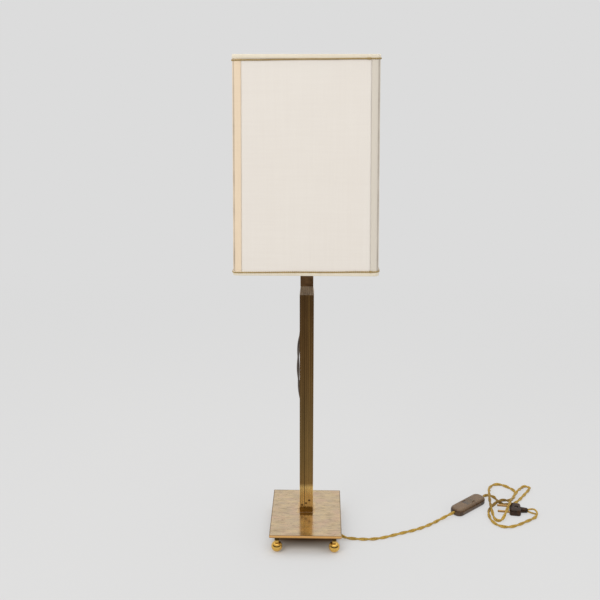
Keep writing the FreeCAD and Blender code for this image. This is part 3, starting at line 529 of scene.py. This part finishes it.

# %% [markdown]
# ## The plate
#
# The plate's top is a worn mirror. It is tan with a pinkish cast, in soft patches drawn
# out across its width, under many short dark scratches in the same direction. It still
# mirrors the column, so it stays smooth. Its edges are cleaner and more golden. The
# surface's own direction tells top from edge: the Z of the normal is 1 on the top and 0 on
# the edges. The rim of the top is darker, and the lowest part of the edge is darker with
# painted shade under the plate. A slightly brighter, duller ring lies round the column's
# foot.

# %% Plate
def plate_brass():
    finish = Finish("plate_brass", Metallic=1.0)
    patches = finish.noise(9 * mm, 5.0, 0.65, (0.5, 1.0, 1.0))
    rosy = finish.noise(19 * mm, 4.0, 0.6, (0.7, 1.0, 1.0))
    streaks = finish.noise(6 * mm, 6.0, 0.7, (0.3, 1.3, 1.0))
    dashes = finish.noise(3.4 * mm, 4.0, 0.6, (0.32, 1.2, 1.0))
    specks = finish.noise(1.6 * mm, 3.0, 0.6, (0.6, 1.0, 1.0))
    fine = finish.noise(0.6 * mm, 3.0, 0.6, (0.1, 2.0, 1.0))
    to_edge = finish.outside(plate_low, plate_high)
    top = finish.mix(finish.between(patches, 0.34, 0.62), paint(238, 212, 170),
                     paint(216, 194, 164))
    for mask, low, high, share, layer in (
            (rosy, 0.46, 0.68, 0.6, paint(232, 196, 172)),
            (streaks, 0.5, 0.76, 0.7, paint(160, 136, 102)),
            (dashes, 0.6, 0.7, 0.6, paint(124, 100, 72)),
            (specks, 0.66, 0.74, 0.6, paint(84, 62, 40)),
            (to_edge, -1.6 * mm, -0.8 * mm, 0.65, paint(78, 62, 42))):
        top = finish.over(top, mask, low, high, share, layer)
    to_foot = finish.between(finish.outside(foot_low, foot_high), 5 * mm, 2 * mm)
    top = finish.mix(to_foot * 0.2, top, paint(236, 196, 132))
    edge = finish.mix(patches, paint(244, 194, 124), paint(220, 164, 100))
    # painted shade: the lowest part of the edge is darker
    edge = finish.over(edge, finish.part(2), plate_low.z + 1.6 * mm,
                       plate_low.z + 0.8 * mm, 0.6, paint(80, 52, 26))
    facing_up = finish.node("NewGeometry", out="True Normal")
    on_top = finish.between(finish.part(2, facing_up).size(), 0.4, 0.8)
    return finish.drive(
        Base_Color=finish.mix(on_top, edge, top),
        Roughness=(0.11 + streaks * 0.1 + (fine - 0.5) * 0.1 + to_foot * 0.3).held(),
        Normal=finish.bump(fine, 0.002 * mm))


plate_low, plate_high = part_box("base_plate")
foot_low, foot_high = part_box("column_foot")
dress(plate_brass(), "base_plate")
print("plate", tuple(round(c / mm, 1) for c in plate_high - plate_low), "mm")

# %% [markdown]
# ## The column's painted reflections and patina
#
# The column's colour changes with height, from a dark brown at the shade to gold at the
# foot. This is painted reflection: the gold is the bright plate mirrored near the foot,
# and the dark brown higher up is the dark room mirrored, on brass that is also aged. Dirt
# stays in the valleys between the reeds. The height is the Z of the object coordinates.
# The valleys repeat across the front, so a sine of X that fits the reeds' spacing finds
# them. Some vertical streaks are brighter than others, and three small dark spots sit
# near the column's lower end.

# %% The column
column_low, column_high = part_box("column")
reed_step = (column_high.x - column_low.x) / 7  # seven reeds
dark_spots = ((-6.6 * mm, 44 * mm), (-0.4 * mm, 47 * mm), (4.6 * mm, 52 * mm))  # X and Z


def column_brass():
    finish = Finish("column_brass", Metallic=1.0)
    height = finish.between(finish.part(2), column_low.z, column_high.z)
    # painted reflection: gold at the foot where the plate is mirrored, dark brown above where
    # the room is mirrored
    stops = [(0.0, paint(252, 220, 152)), (1.0, paint(109, 82, 52)),
             (0.1, paint(250, 214, 138)), (0.12, paint(156, 122, 70)),
             (0.23, paint(140, 111, 65)), (0.45, paint(129, 103, 64)),
             (0.73, paint(125, 95, 58))]
    colour = finish.node("ValToRGB", {"stops": stops}, {0: height})
    grain = finish.noise(0.9 * mm, 3.0, 0.6, (1, 1, 0.03))
    clouds = finish.noise(9 * mm, 4.0, 0.6, (1, 1, 0.2))
    streak_noise = finish.noise(5 * mm, 2.0, 0.5, (1, 1, 0.012))
    crest = (finish.part(0) * (math.pi / reed_step)).wave().size()
    valley = finish.between(crest, 0.6, 0.0)
    colour = finish.over(colour, clouds, 0.4, 0.75, 0.3, paint(150, 118, 72))
    # brighter vertical streaks
    colour = finish.over(colour, streak_noise, 0.54, 0.66, 0.35, paint(190, 152, 88))
    grime = (valley * 0.6 + grain * 0.15 + finish.between(streak_noise, 0.47, 0.34) * 0.3).held()
    colour = finish.mix(grime, colour, paint(36, 24, 11))
    # three small dark spots near the column's lower end
    for x, z in dark_spots:
        colour = finish.over(colour, finish.distance((x, column_low.y, z)),
                             2.4 * mm, 1.0 * mm, 0.9, paint(66, 34, 10))
    return finish.drive(Base_Color=colour,
                        Roughness=(0.14 + grain * 0.08 + valley * 0.2).held(),
                        Normal=finish.bump(grain, 0.002 * mm))


dress(column_brass(), "column")
print("reeds are %.2f mm apart" % (reed_step / mm))

# %% [markdown]
# ## Steel, plastics, rubber and the bulb
#
# A metal has fine noise in its roughness. A moulded plastic, porcelain or rubber has a
# soft orange-peel bump, and two colours mixed by noise whose coordinates are bent by
# another noise. That gives swirls on the old brown plastic of the switch and the plug.

# %% Small parts
def plain_metal(name, colour, roughness, metallic=1.0):
    finish = Finish(name, Metallic=metallic)
    fine = finish.noise(0.8 * mm, 4.0, 0.6)
    dark_patch = finish.noise(6 * mm)
    return finish.drive(
        Base_Color=finish.over(colour, dark_patch, 0.5, 0.8, 0.5, darker(colour, 0.72)),
        Roughness=(roughness + (fine - 0.5) * 0.16).held(),
        Normal=finish.bump(fine, 0.006 * mm))


def moulded(name, colour, swirl, roughness, swirl_size=9 * mm, peel=0.02 * mm, coat=0.0,
            specular=0.5, highlit_top=None):
    finish = Finish(name, Coat_Weight=coat, Coat_Roughness=0.08,
                    Specular_IOR_Level=specular)
    bend = finish.node("TexNoise", {}, {"Vector": finish.place, "Detail": 2.0,
                                        "Scale": 0.6 / swirl_size}, 1)
    bent = finish.node("Mix", {"data_type": "VECTOR"}, {0: 0.012, 4: finish.place, 5: bend}, 1)
    flow = finish.noise(swirl_size, 6.0, 0.62, vector=bent)
    skin = finish.noise(0.7 * mm, 2.0, 0.5)
    wear_and_highlight = finish.noise(4 * mm, 4.0, 0.6)
    base = finish.mix(finish.between(flow, 0.42, 0.62), colour, swirl)
    # painted highlight: the top of the piece is paler, in patches
    if highlit_top:
        height, pale = highlit_top
        base = finish.over(base, finish.part(2), height - 3 * mm, height,
                           0.15 + wear_and_highlight * 0.7, pale)
    return finish.drive(Base_Color=base,
                        Roughness=(roughness + (wear_and_highlight - 0.5) * 0.25).held(),
                        Normal=finish.bump(skin, peel))


dress(plain_metal("steel", paint(190, 188, 184), 0.3), "foot_screws", "cup_screws",
      "threaded_nipple", "holder_locknut", "switch_screws", "switch_pin", "plug_screw")
dress(plain_metal("pin_brass", paint(176, 140, 92), 0.24), "plug_pins")
dress(plain_metal("bulb_metal", paint(205, 205, 205), 0.28), "bulb_cap")
dress(plain_metal("solder", paint(150, 150, 152), 0.5), "bulb_contact")
dress(plain_metal("white_enamel", paint(232, 228, 216), 0.4, 0.0), "frame_ring_bottom",
      "frame_ring_top", "frame_struts", "shade_fitter")
dress(moulded("cup_plastic", paint(34, 31, 29), paint(28, 25, 23), 0.35), "wiring_cup")
dress(moulded("block_plastic", paint(226, 218, 198), paint(216, 206, 184), 0.45),
      "terminal_block")
dress(moulded("porcelain", paint(236, 232, 222), paint(228, 224, 212), 0.12, coat=0.6),
      "holder_insulator")
dress(moulded("rubber", paint(30, 28, 27), paint(38, 35, 33), 0.75, peel=0.04 * mm),
      "cord_grip", "riser_bush")
# the switch's paler top is a painted highlight
switch_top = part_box("switch_cover")[1].z
dress(moulded("switch_plastic", paint(88, 66, 44), paint(54, 37, 24), 0.22,
              swirl_size=7 * mm, coat=0.3, specular=0.3,
              highlit_top=(switch_top, paint(146, 120, 92))), "switch_base", "switch_cover")
dress(moulded("rocker_plastic", paint(92, 72, 48), paint(66, 50, 34), 0.2, coat=0.5),
      "switch_rocker")
dress(moulded("plug_plastic", paint(62, 38, 18), paint(30, 19, 10), 0.22,
              swirl_size=6 * mm, coat=0.15, specular=0.2), "plug_base", "plug_cover")

opal = Finish("opal_glass", Coat_Weight=0.3, Transmission_Weight=0.25, IOR=1.46)
cloudy = opal.noise(14 * mm)
opal.drive(Base_Color=opal.mix(cloudy, paint(246, 245, 240), paint(236, 234, 226)),
           Roughness=0.3 + (cloudy - 0.5) * 0.1)
dress(opal, "bulb_glass")
print("dressed", len([n for n in cad if cad[n].data.materials]), "CAD pieces")

# %% [markdown]
# ## Silk on the flex
#
# The braid is two sets of threads that cross at a slant, so two sines on the wire's UV
# map, one for each slant, make it. The map runs in turns round the wire and in metres
# along it. The dark colour is painted shade where the two sets dip between each other,
# and in the groove between the two wires, which the attribute bulge finds. The gold silk
# is also darker brown beside the plug's pins, painted shade where strands and the plug
# lie over each other.

# %% Silk
threads_round = 8
thread_pitch = 1.5 * mm
beside_pins = (0.322, 0.068, 0.004)


def silk(name, bright, dark, wire_radius, dark_patch=None):
    finish = Finish(name, Sheen_Weight=0.1, Sheen_Roughness=0.4)
    uv = finish.node("UVMap", {"uv_map": "UVMap"})
    turn = finish.part(0, uv) * (threads_round * math.tau)
    along = finish.part(1, uv) * (math.tau / thread_pitch)
    thread = finish.between((turn + along).wave() * (turn - along).wave(), -0.9, 0.9)
    patches = finish.noise(12 * mm, 3.0, 0.6)
    fuzz = finish.noise(0.35 * mm, 2.0, 0.6)
    # painted shade where the threads dip between each other
    colour = finish.mix(thread * (0.6 + fuzz * 0.6), dark, bright)
    colour = finish.over(colour, patches, 0.45, 0.8, 0.35, dark)
    if dark_patch:
        # painted shade beside the plug's pins, where strands and the plug lie over each other
        colour = finish.over(colour, finish.distance(dark_patch), 36 * mm, 14 * mm, 0.6, dark)
    bulge = finish.node("Attribute", {"attribute_name": "bulge"}, out="Fac")
    # painted shade in the groove between the two wires
    colour = finish.over(colour, bulge, 0.9, 0.5, 0.85, dark)
    return finish.drive(Base_Color=colour, Roughness=0.5 + (1 - thread) * 0.25,
                        Normal=finish.bump(thread * 0.7 + fuzz * 0.3, wire_radius * 0.12))


dress(silk("gold_silk", paint(246, 203, 86), paint(94, 64, 12), flex_dia / 4, beside_pins),
      *flex_pieces.values())
dress(silk("dark_silk", paint(134, 122, 114), paint(70, 62, 56), riser_dia / 4),
      riser_wires)
print("silk on", len(flex_pieces) + 1, "flexes")

# %% [markdown]
# ## The shade's outline
#
# The shade is a square tube, 9 mm narrower at the top, with small round corners. The hems
# in the CAD model give its width at both ends, so one function gives half the width at
# any height. A second makes the outline as a loop: one square face whose corners are
# bevelled into arcs, with its long edges cut so that the cloth can ripple.

# %% Outline
hem_proud = 0.9 * mm
bottom_low, bottom_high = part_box("hem_bottom")
top_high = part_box("hem_top")[1]
shade_bottom = bottom_low.z
shade_top = top_high.z
bottom_half = bottom_high.x - hem_proud
top_half = top_high.x - hem_proud
corner_round = 6 * mm


def half_at(z):
    """Half the shade's width over the cloth at a height."""
    share = (z - shade_bottom) / (shade_top - shade_bottom)
    return bottom_half + (top_half - bottom_half) * share


def outline(bm, out, z, cuts=16, arcs=5):
    """A loop of edges round the shade, moved out from the cloth by a distance."""
    half = half_at(z) + out
    before = set(bm.faces)

    def new_face():
        return (set(bm.faces) - before).pop()

    bmesh.ops.create_grid(bm, x_segments=1, y_segments=1, size=half,
                          matrix=Matrix.Translation((0, 0, z)))
    bmesh.ops.bevel(bm, geom=new_face().verts[:], offset=max(corner_round + out, 0.4 * mm),
                    offset_type="OFFSET", segments=arcs, profile=0.5, affect="VERTICES",
                    material=-1)
    long_edges = [e for e in new_face().edges if e.calc_length() > half]
    bmesh.ops.subdivide_edges(bm, edges=long_edges, cuts=cuts)
    face = new_face()
    edges = face.edges[:]
    bmesh.ops.delete(bm, geom=[face], context="FACES_ONLY")
    return edges


def ripple(place, amount, length):
    """A small push, smooth in space, for cloth that isn't quite even."""
    return amount * noise.noise(place / length)


def finished(bm, name):
    """Closes a bmesh into a mesh with smooth faces that point outwards."""
    bmesh.ops.remove_doubles(bm, verts=bm.verts[:], dist=1e-6)
    bmesh.ops.recalc_face_normals(bm, faces=bm.faces[:])
    for face in bm.faces:
        face.smooth = True
    mesh = bpy.data.meshes.new(name)
    bm.to_mesh(mesh)
    bm.free()
    return mesh


print("shade %.1f mm wide below, %.1f mm above, %.0f mm high" % (
    2 * bottom_half / mm, 2 * top_half / mm, (shade_top - shade_bottom) / mm))

# %% [markdown]
# ## Four cloth panels
#
# Each side is one piece of cloth stretched on the wire frame. Between the upper and the
# lower wire it is drawn in a little, and it has faint pulls. So each panel starts as a
# grid, is shaped to the side's taper, and then every point moves by a fraction of a
# millimetre. Solidify gives the cloth and its lining their thickness, inwards.

# %% Panels
band_width = 11 * mm
tuck = 1.2 * mm  # how far a panel goes on under the band beside it
cloth_thick = 0.7 * mm
drawn_in = 0.5 * mm
pull = 0.22 * mm
pull_size = 50 * mm
panel_low = shade_bottom + 0.8 * mm
panel_high = shade_top - 0.8 * mm


def stretched_cloth(bm, name, outwards, thickness):
    """A piece of the shade that faces outwards and has its thickness inwards."""
    mesh = finished(bm, name)
    if sum((f.normal for f in mesh.polygons), Vector()).dot(outwards) < 0:
        mesh.flip_normals()
    piece = add_piece(name, mesh, "shade")
    wall = piece.modifiers.new("thickness", "SOLIDIFY")
    wall.thickness = thickness
    wall.offset = -1
    return piece


def panel_width(z):
    return 2 * (half_at(z) - band_width + tuck)


def panel(turn, name):
    bm = bmesh.new()
    bmesh.ops.create_grid(bm, x_segments=40, y_segments=60, size=0.5)
    facing = Matrix.Rotation(turn, 4, "Z")
    for vert in bm.verts:
        across, rise = vert.co.x, vert.co.y + 0.5
        z = panel_low + (panel_high - panel_low) * rise
        place = Vector((across * panel_width(z), -half_at(z), z))
        edge = (1 - (2 * across) ** 2) * (1 - (2 * rise - 1) ** 4)
        shift = Vector((0, 0, across * pull_size))
        place.y += drawn_in * edge
        place.y += ripple(facing @ place + shift, pull, pull_size) * edge
        vert.co = facing @ place
    piece = stretched_cloth(bm, "cloth_" + name,
                            facing @ Vector((0, -1, 0)), cloth_thick)
    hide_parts("panel_" + name)
    wide, narrow = panel_width(panel_low), panel_width(panel_high)
    height = panel_high - panel_low
    (wide + narrow) / 2 * height
    return piece


panels = [panel(math.radians(90 * i), name) for i, name in
          enumerate(("front", "right", "back", "left"))]
print("panels", [p.name for p in panels])

# %% [markdown]
# ## Bands over the corners
#
# A strip of warmer cloth covers each corner and the edges of the two panels beside it.
# Its section is an L with a round corner: a point is drawn along one side, spun a
# quarter turn about the corner's centre, and drawn along the other. That line is
# extruded upwards in steps, and each step moves inwards with the taper.

# %% Corner bands
band_thick = 0.4 * mm
band_rows = 56
side_steps = 4


def drawn(bm, vert, whole):
    """Draws a point out into a line, and gives the line's last point."""
    for _ in range(side_steps):
        vert = bmesh.ops.extrude_vert_indiv(bm, verts=[vert])["verts"][0]
        vert.co += whole / side_steps
    return vert


def band(turn, name):
    bm = bmesh.new()
    half = half_at(panel_low) + band_thick
    radius = corner_round + band_thick
    side = band_width - corner_round
    start = bm.verts.new((half - band_thick - band_width, -half, panel_low))
    last = drawn(bm, start, Vector((side, 0, 0)))
    spun = bmesh.ops.spin(bm, geom=[last], cent=(half - radius, -half + radius, panel_low),
                          axis=(0, 0, 1), angle=math.radians(90), steps=6, use_merge=False)
    last = [g for g in spun["geom_last"] if isinstance(g, bmesh.types.BMVert)][0]
    drawn(bm, last, Vector((0, side + band_thick, 0)))
    row = bm.edges[:]
    rise = (panel_high - panel_low) / band_rows
    taper = (half_at(panel_high) - half_at(panel_low)) / band_rows
    for _ in range(band_rows):
        new = bmesh.ops.extrude_edge_only(bm, edges=row)["geom"]
        verts = [g for g in new if isinstance(g, bmesh.types.BMVert)]
        row = [g for g in new if isinstance(g, bmesh.types.BMEdge)
               and all(v in verts for v in g.verts)]
        bmesh.ops.translate(bm, verts=verts, vec=(taper, -taper, rise))
    facing = Matrix.Rotation(turn, 4, "Z")
    for vert in bm.verts:
        place = facing @ vert.co
        outwards = Vector((place.x, place.y, 0)).normalized()
        vert.co = place + outwards * ripple(place, 0.12 * mm, 20 * mm)
    piece = stretched_cloth(bm, "band_" + name,
                            facing @ Vector((1, -1, 0)), band_thick)
    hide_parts("corner_bands")
    return piece


bands = [band(math.radians(90 * i), name) for i, name in
         enumerate(("front_right", "back_right", "back_left", "front_left"))]
print("bands", [b.name for b in bands])

# %% [markdown]
# ## The binding along the two edges
#
# The lower and the upper edge are bound with a tape folded over the frame's wire. Its
# section is a U. It is built as a row of outlines at chosen distances and heights, each
# bridged to the next, so the corners come out round with no extra work. The tape is a
# little uneven, as sewn tape is.


def hem(name, edge, inwards):
    """inwards is 1 for the lower edge and -1 for the upper one."""
    section = [(0.3, 5.6), (0.78, 5.3), (0.85, 3.0), (0.8, 0.8), (0.35, 0.12), (-0.6, 0.0),
               (-4.6, 0.05), (-5.4, 0.3), (-5.65, 1.0), (-5.6, 4.0), (-5.3, 4.1),
               (-5.1, 3.9), (-5.1, 0.7), (-0.2, 0.55), (0.1, 0.9), (0.1, 5.4)]  # in mm
    bm = bmesh.new()
    loops = [outline(bm, out * mm, edge + inwards * rise * mm) for out, rise in section]
    for first, second in zip(loops, loops[1:] + loops[:1]):
        bmesh.ops.bridge_loops(bm, edges=first + second)
    for vert in bm.verts:
        outwards = Vector((vert.co.x, vert.co.y, 0)).normalized()
        vert.co += outwards * ripple(vert.co, 0.14 * mm, 12 * mm)
        vert.co.z += inwards * 0.06 * mm * (1 + noise.noise(vert.co / (20 * mm)))
    piece = add_piece(name + "_tape", finished(bm, name + "_tape"), "shade")
    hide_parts(name)
    width = 8 * half_at(edge)  # four sides of twice the half
    return piece


hems = [hem("hem_bottom", shade_bottom, 1), hem("hem_top", shade_top, -1)]
print("hems", [len(h.data.polygons) for h in hems])

# %% [markdown]
# ## Piping
#
# A thin gold and brown cord runs round the shade, 5 to 6 mm from each edge. It is two
# threads twisted together, laid in the corner between the cloth and the binding. Near
# the right corner of the front its two ends meet under a few turns of thread, which show
# as a small bump.

# %% Piping
piping_dia = 2.3 * mm
piping_out = 0.8 * mm
piping_lay = 5.2 * mm
piping_sag = 0.45 * mm
piping_lean = 1.0 * mm
whip_steps = 14
whip_pitch = 0.34 * mm
whip_radius = 0.24 * mm


def piping_line(z):
    """A closed line round the shade, with the slight unevenness of a sewn cord.

    It leans: lower on the left side and higher on the right.
    """
    bm = bmesh.new()
    outline(bm, piping_out, z, cuts=30, arcs=8)
    start = min(bm.verts, key=lambda v: (v.co - Vector((half_at(z) * 0.3, 1, z))).length)
    line, vert, edge = [], start, None
    while True:
        line.append(vert.co.copy())
        edge = [e for e in vert.link_edges if e is not edge][0]
        vert = edge.other_vert(vert)
        if vert is start:
            break
    bm.free()
    for point in line:
        point.z += ripple(point, piping_sag, 45 * mm) + ripple(point, 0.1 * mm, 11 * mm)
        point.z += piping_lean * point.x / half_at(z)
    return even_steps(line + [line[0].copy()], 0.8 * mm)


def piping(name, z, join_x, join_turns):
    line = piping_line(z)
    turns = round(line_length(line) / piping_lay)
    wires = twisted(line, piping_dia / 2, piping_dia / 4, line_length(line) / turns, 0.0)
    front = [p for p in line if p.y < 0 and abs(p.y) > abs(p.x)]
    at = min(front, key=lambda p: abs(p.x - join_x))
    whip = []
    reach = piping_dia / 2 + 0.12 * mm
    for i in range(join_turns * whip_steps + 1):
        turn = i / whip_steps
        whip.append(at + Vector((whip_pitch * (turn - join_turns / 2),
                                 reach * math.cos(turn * math.tau),
                                 reach * math.sin(turn * math.tau))))
    wires.append(round_wire(whip, whip_radius, 1))
    piece = add_piece(name + "_cord", joined(wires, name + "_cord"), "shade")
    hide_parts(name)
    return piece


pipings = [piping("piping_bottom", shade_bottom + 5.4 * mm, 87.5 * mm, 7),
           piping("piping_top", shade_top - 6.4 * mm, 80 * mm, 12)]
print("piping", [len(p.data.polygons) for p in pipings])

# %% [markdown]
# ## Cloth, binding and piping finishes
#
# The shade's cloth is a fine plain weave: two sets of threads at right angles, each a
# sine of one coordinate. The panels face two ways, so the thread count across uses X
# plus Y, of which only one changes on each side. Uneven threads, called slubs, come from
# noise stretched along them. The bands and the binding use the same recipe with a heavier
# weave. The bands on the right are greyer, painted shade on the side away from the light.
# Along the fold in the middle of each corner, where X plus Y comes near the shade's whole
# width, the bands are darker with painted shade.

# %% Cloth
def woven(name, bright, dull, thread, slub, height, weave, slubs=0.45, shaded_side=None,
          fold_shade=None):
    finish = Finish(name, Sheen_Weight=0.15, Sheen_Roughness=0.5)
    across = finish.part(0) + finish.part(1)
    rise = finish.part(2)
    warp = (across * (math.pi / thread)).wave().size()
    weft = (rise * (math.pi / thread)).wave().size()
    weave_height = warp.larger(weft)
    slubs_up = finish.noise(slub, 3.0, 0.6, (1, 1, 0.03))
    slubs_across = finish.noise(slub, 3.0, 0.6, (0.05, 0.05, 1))
    clouds = finish.noise(60 * mm)
    uneven = (slubs_up + slubs_across) * 0.5
    share = (finish.between(uneven, 0.35, 0.68) * slubs + clouds * 0.35
             + (1 - weave_height) * weave).held()
    colour = finish.mix(share, bright, dull)
    # painted shade: greyer towards +X, the side away from the light
    if shaded_side:
        colour = finish.mix(finish.between(finish.part(0), *shaded_side[1]), colour, shaded_side[0])
    # painted shade along the fold in the middle of each corner
    if fold_shade:
        width = finish.node("MapRange", {}, {0: rise, 1: shade_bottom, 2: shade_top,
                                             3: 2 * bottom_half, 4: 2 * top_half})
        to_corner = finish.part(0).size() + finish.part(1).size() - width
        fold = finish.between(to_corner, -3.4 * mm, -2.9 * mm)
        colour = finish.mix(fold * (0.4 + uneven * 0.5), colour, fold_shade)
    return finish.drive(Base_Color=colour, Roughness=0.82 + uneven * 0.12,
                        Normal=finish.bump(weave_height * 0.6 + uneven * 0.4, height))


dress(woven("shade_cloth", paint(235, 229, 221), paint(225, 217, 208), 0.55 * mm, 3 * mm,
            0.015 * mm, 0.03, 0.25), *panels)
# the bands' painted shade: greyer on the right and darker along each corner's fold
dress(woven("band_cloth", paint(238, 218, 191), paint(227, 205, 177), 0.8 * mm, 4 * mm,
            0.05 * mm, 0.12, 0.35, (paint(216, 208, 195), (-30 * mm, 50 * mm)),
            paint(126, 110, 94)), *bands)
dress(woven("hem_cloth", paint(236, 227, 208), paint(220, 208, 185), 0.7 * mm, 3 * mm,
            0.08 * mm, 0.2), *hems)
dress(silk("piping_silk", paint(218, 188, 120), paint(104, 80, 42), 0.6 * mm), *pipings)

# %% [markdown]
# ## Light, floor and background
#
# The photograph has soft light from all sides. The world gives it. Camera rays, and rays
# that go through glass, see the backdrop's own grey. Mirror rays see a studio: the
# backdrop behind the lamp, a bright ceiling, and a dark room low behind the camera, which
# makes polished brass look like metal. Heights go from 0, level, to 1, straight up.

# %% The world
backdrop = paint(220, 220, 220)
dark_room = (0.06, 0.05, 0.04, 1.0)
ceiling = (1.5, 1.42, 1.28, 1.0)
sky_strength = 0.66
scene = bpy.context.scene
scene.view_settings.view_transform = "Standard"


class Staging(Finish):
    """The same wiring for the world and the floor, where rays of each kind differ."""

    def __init__(self, tree, coordinates):
        self.tree = tree
        self.place = self.node("TexCoord", out=coordinates)

    def ray(self, kind):
        """1 for the rays of a kind and 0 for all others."""
        return self.node("LightPath", out="Is %s Ray" % kind)

    def either(self, share, first, second):
        return self.node("MixShader", {}, {0: share, 1: first, 2: second})

    def show(self, wire, node, socket=0):
        self.tree.links.new(wire.socket, self.tree.nodes[node].inputs[socket])


world = scene.world = bpy.data.worlds.new("studio")
world.use_nodes = True
sky = Staging(world.node_tree, "Generated")
behind_camera = sky.between(sky.part(1), 0.15, -0.2)
height = sky.part(2)
mirrored = sky.mix(sky.between(height, 0.62, 0.86), backdrop, ceiling)
mirrored = sky.mix(behind_camera * sky.between(height, 0.46, 0.30), mirrored, dark_room)
soft = sky.node("Background", {}, {0: (1.0, 0.99, 0.975, 1.0), 1: sky_strength})
plain = sky.node("Background", {}, {0: backdrop})
studio = sky.node("Background", {}, {0: mirrored})
shown = sky.either((sky.ray("Camera") + sky.ray("Transmission")).held(), soft, plain)
sky.show(sky.either(sky.ray("Glossy"), shown, studio), "World Output")
print("world nodes", len(world.node_tree.nodes))

# %% [markdown]
# ## Lamps
#
# Three large soft lamps add direction: a key from the left, a weak fill from the right
# and one overhead. Mirror rays do not see them, so that the brass shows only the studio.

# %% Lamps
lamps = (("key", (-1.3, -1.5, 1.5), (0.05, 0, 0.35), 1.2, 16, (1, 0.985, 0.96)),
         ("fill", (1.6, -1.0, 0.9), (0.05, 0, 0.35), 1.0, 6, (1, 1, 1)),
         ("over", (0.1, 0.3, 2.1), (0.1, 0, 0.2), 1.4, 9, (1, 1, 1)))
for name, place, aim, size, power, colour in lamps:
    data = bpy.data.lights.new(name, "AREA")
    data.shape = "RECTANGLE"
    data.size = data.size_y = size
    data.energy = power
    data.color = colour
    lamp = placed(name, data)
    lamp.location = place
    lamp.rotation_euler = (Vector(aim) - Vector(place)).to_track_quat("-Z", "Y").to_euler()
    lamp.visible_glossy = False

# %% [markdown]
# ## The floor
#
# The floor gives off the backdrop's grey itself, and wholly so far away, so that it has
# no horizon. Nearer the lamp a quarter or more of its tone is plain paper that catches
# shadows. The photograph has a deep brown shadow under the plate, so the paper is
# brownish there. In mirror rays the floor grows dimmer towards the front, as where a
# sheet of paper ends on a darker floor. From below it is clear, so the underside shows.

# %% Floor
bm = bmesh.new()
bmesh.ops.create_grid(bm, x_segments=1, y_segments=1, size=12)
floor_mesh = bpy.data.meshes.new("floor")
bm.to_mesh(floor_mesh)
bm.free()
floor = placed("floor", floor_mesh)

paper = bpy.data.materials.new("floor_paper")
paper.use_nodes = True
ground = Staging(paper.node_tree, "Object")
diffuse = paper.node_tree.nodes["Principled BSDF"]
diffuse.inputs["Roughness"].default_value = 1.0
diffuse.inputs["Specular IOR Level"].default_value = 0.0
away = ground.outside(plate_low, plate_high)
in_from_sides = Vector((28 * mm, 0, 0))  # the brown starts further in at the sides
under = ground.between(ground.outside(plate_low - in_from_sides,
                                      plate_high + in_from_sides), -14 * mm, -42 * mm)
under = under * ground.between(away, 0.0, -12 * mm)
ground.show(ground.mix(under, paint(232, 232, 232), paint(104, 84, 62)),
            "Principled BSDF", "Base Color")
own_share = ground.between(away, -12 * mm, 20 * mm) * 0.75
own_share += ground.between(away, 0.3, 1.5) * 0.25
own = ground.node("Emission", {}, {0: backdrop})
dimmer = ground.node("Emission", {}, {0: (0.45, 0.43, 0.40, 1.0)})
sheet_end = ground.between(ground.part(1), -0.24, -0.7)
seen = ground.either(own_share, Wire(ground, diffuse.outputs[0]), own)
seen = ground.either(ground.ray("Glossy") * sheet_end, seen, dimmer)
from_below = ground.node("NewGeometry", out="Backfacing")
ground.show(ground.either(from_below, seen, ground.node("BsdfTransparent")),
            "Material Output")
floor_mesh.materials.append(paper)
print("floor nodes", len(paper.node_tree.nodes))
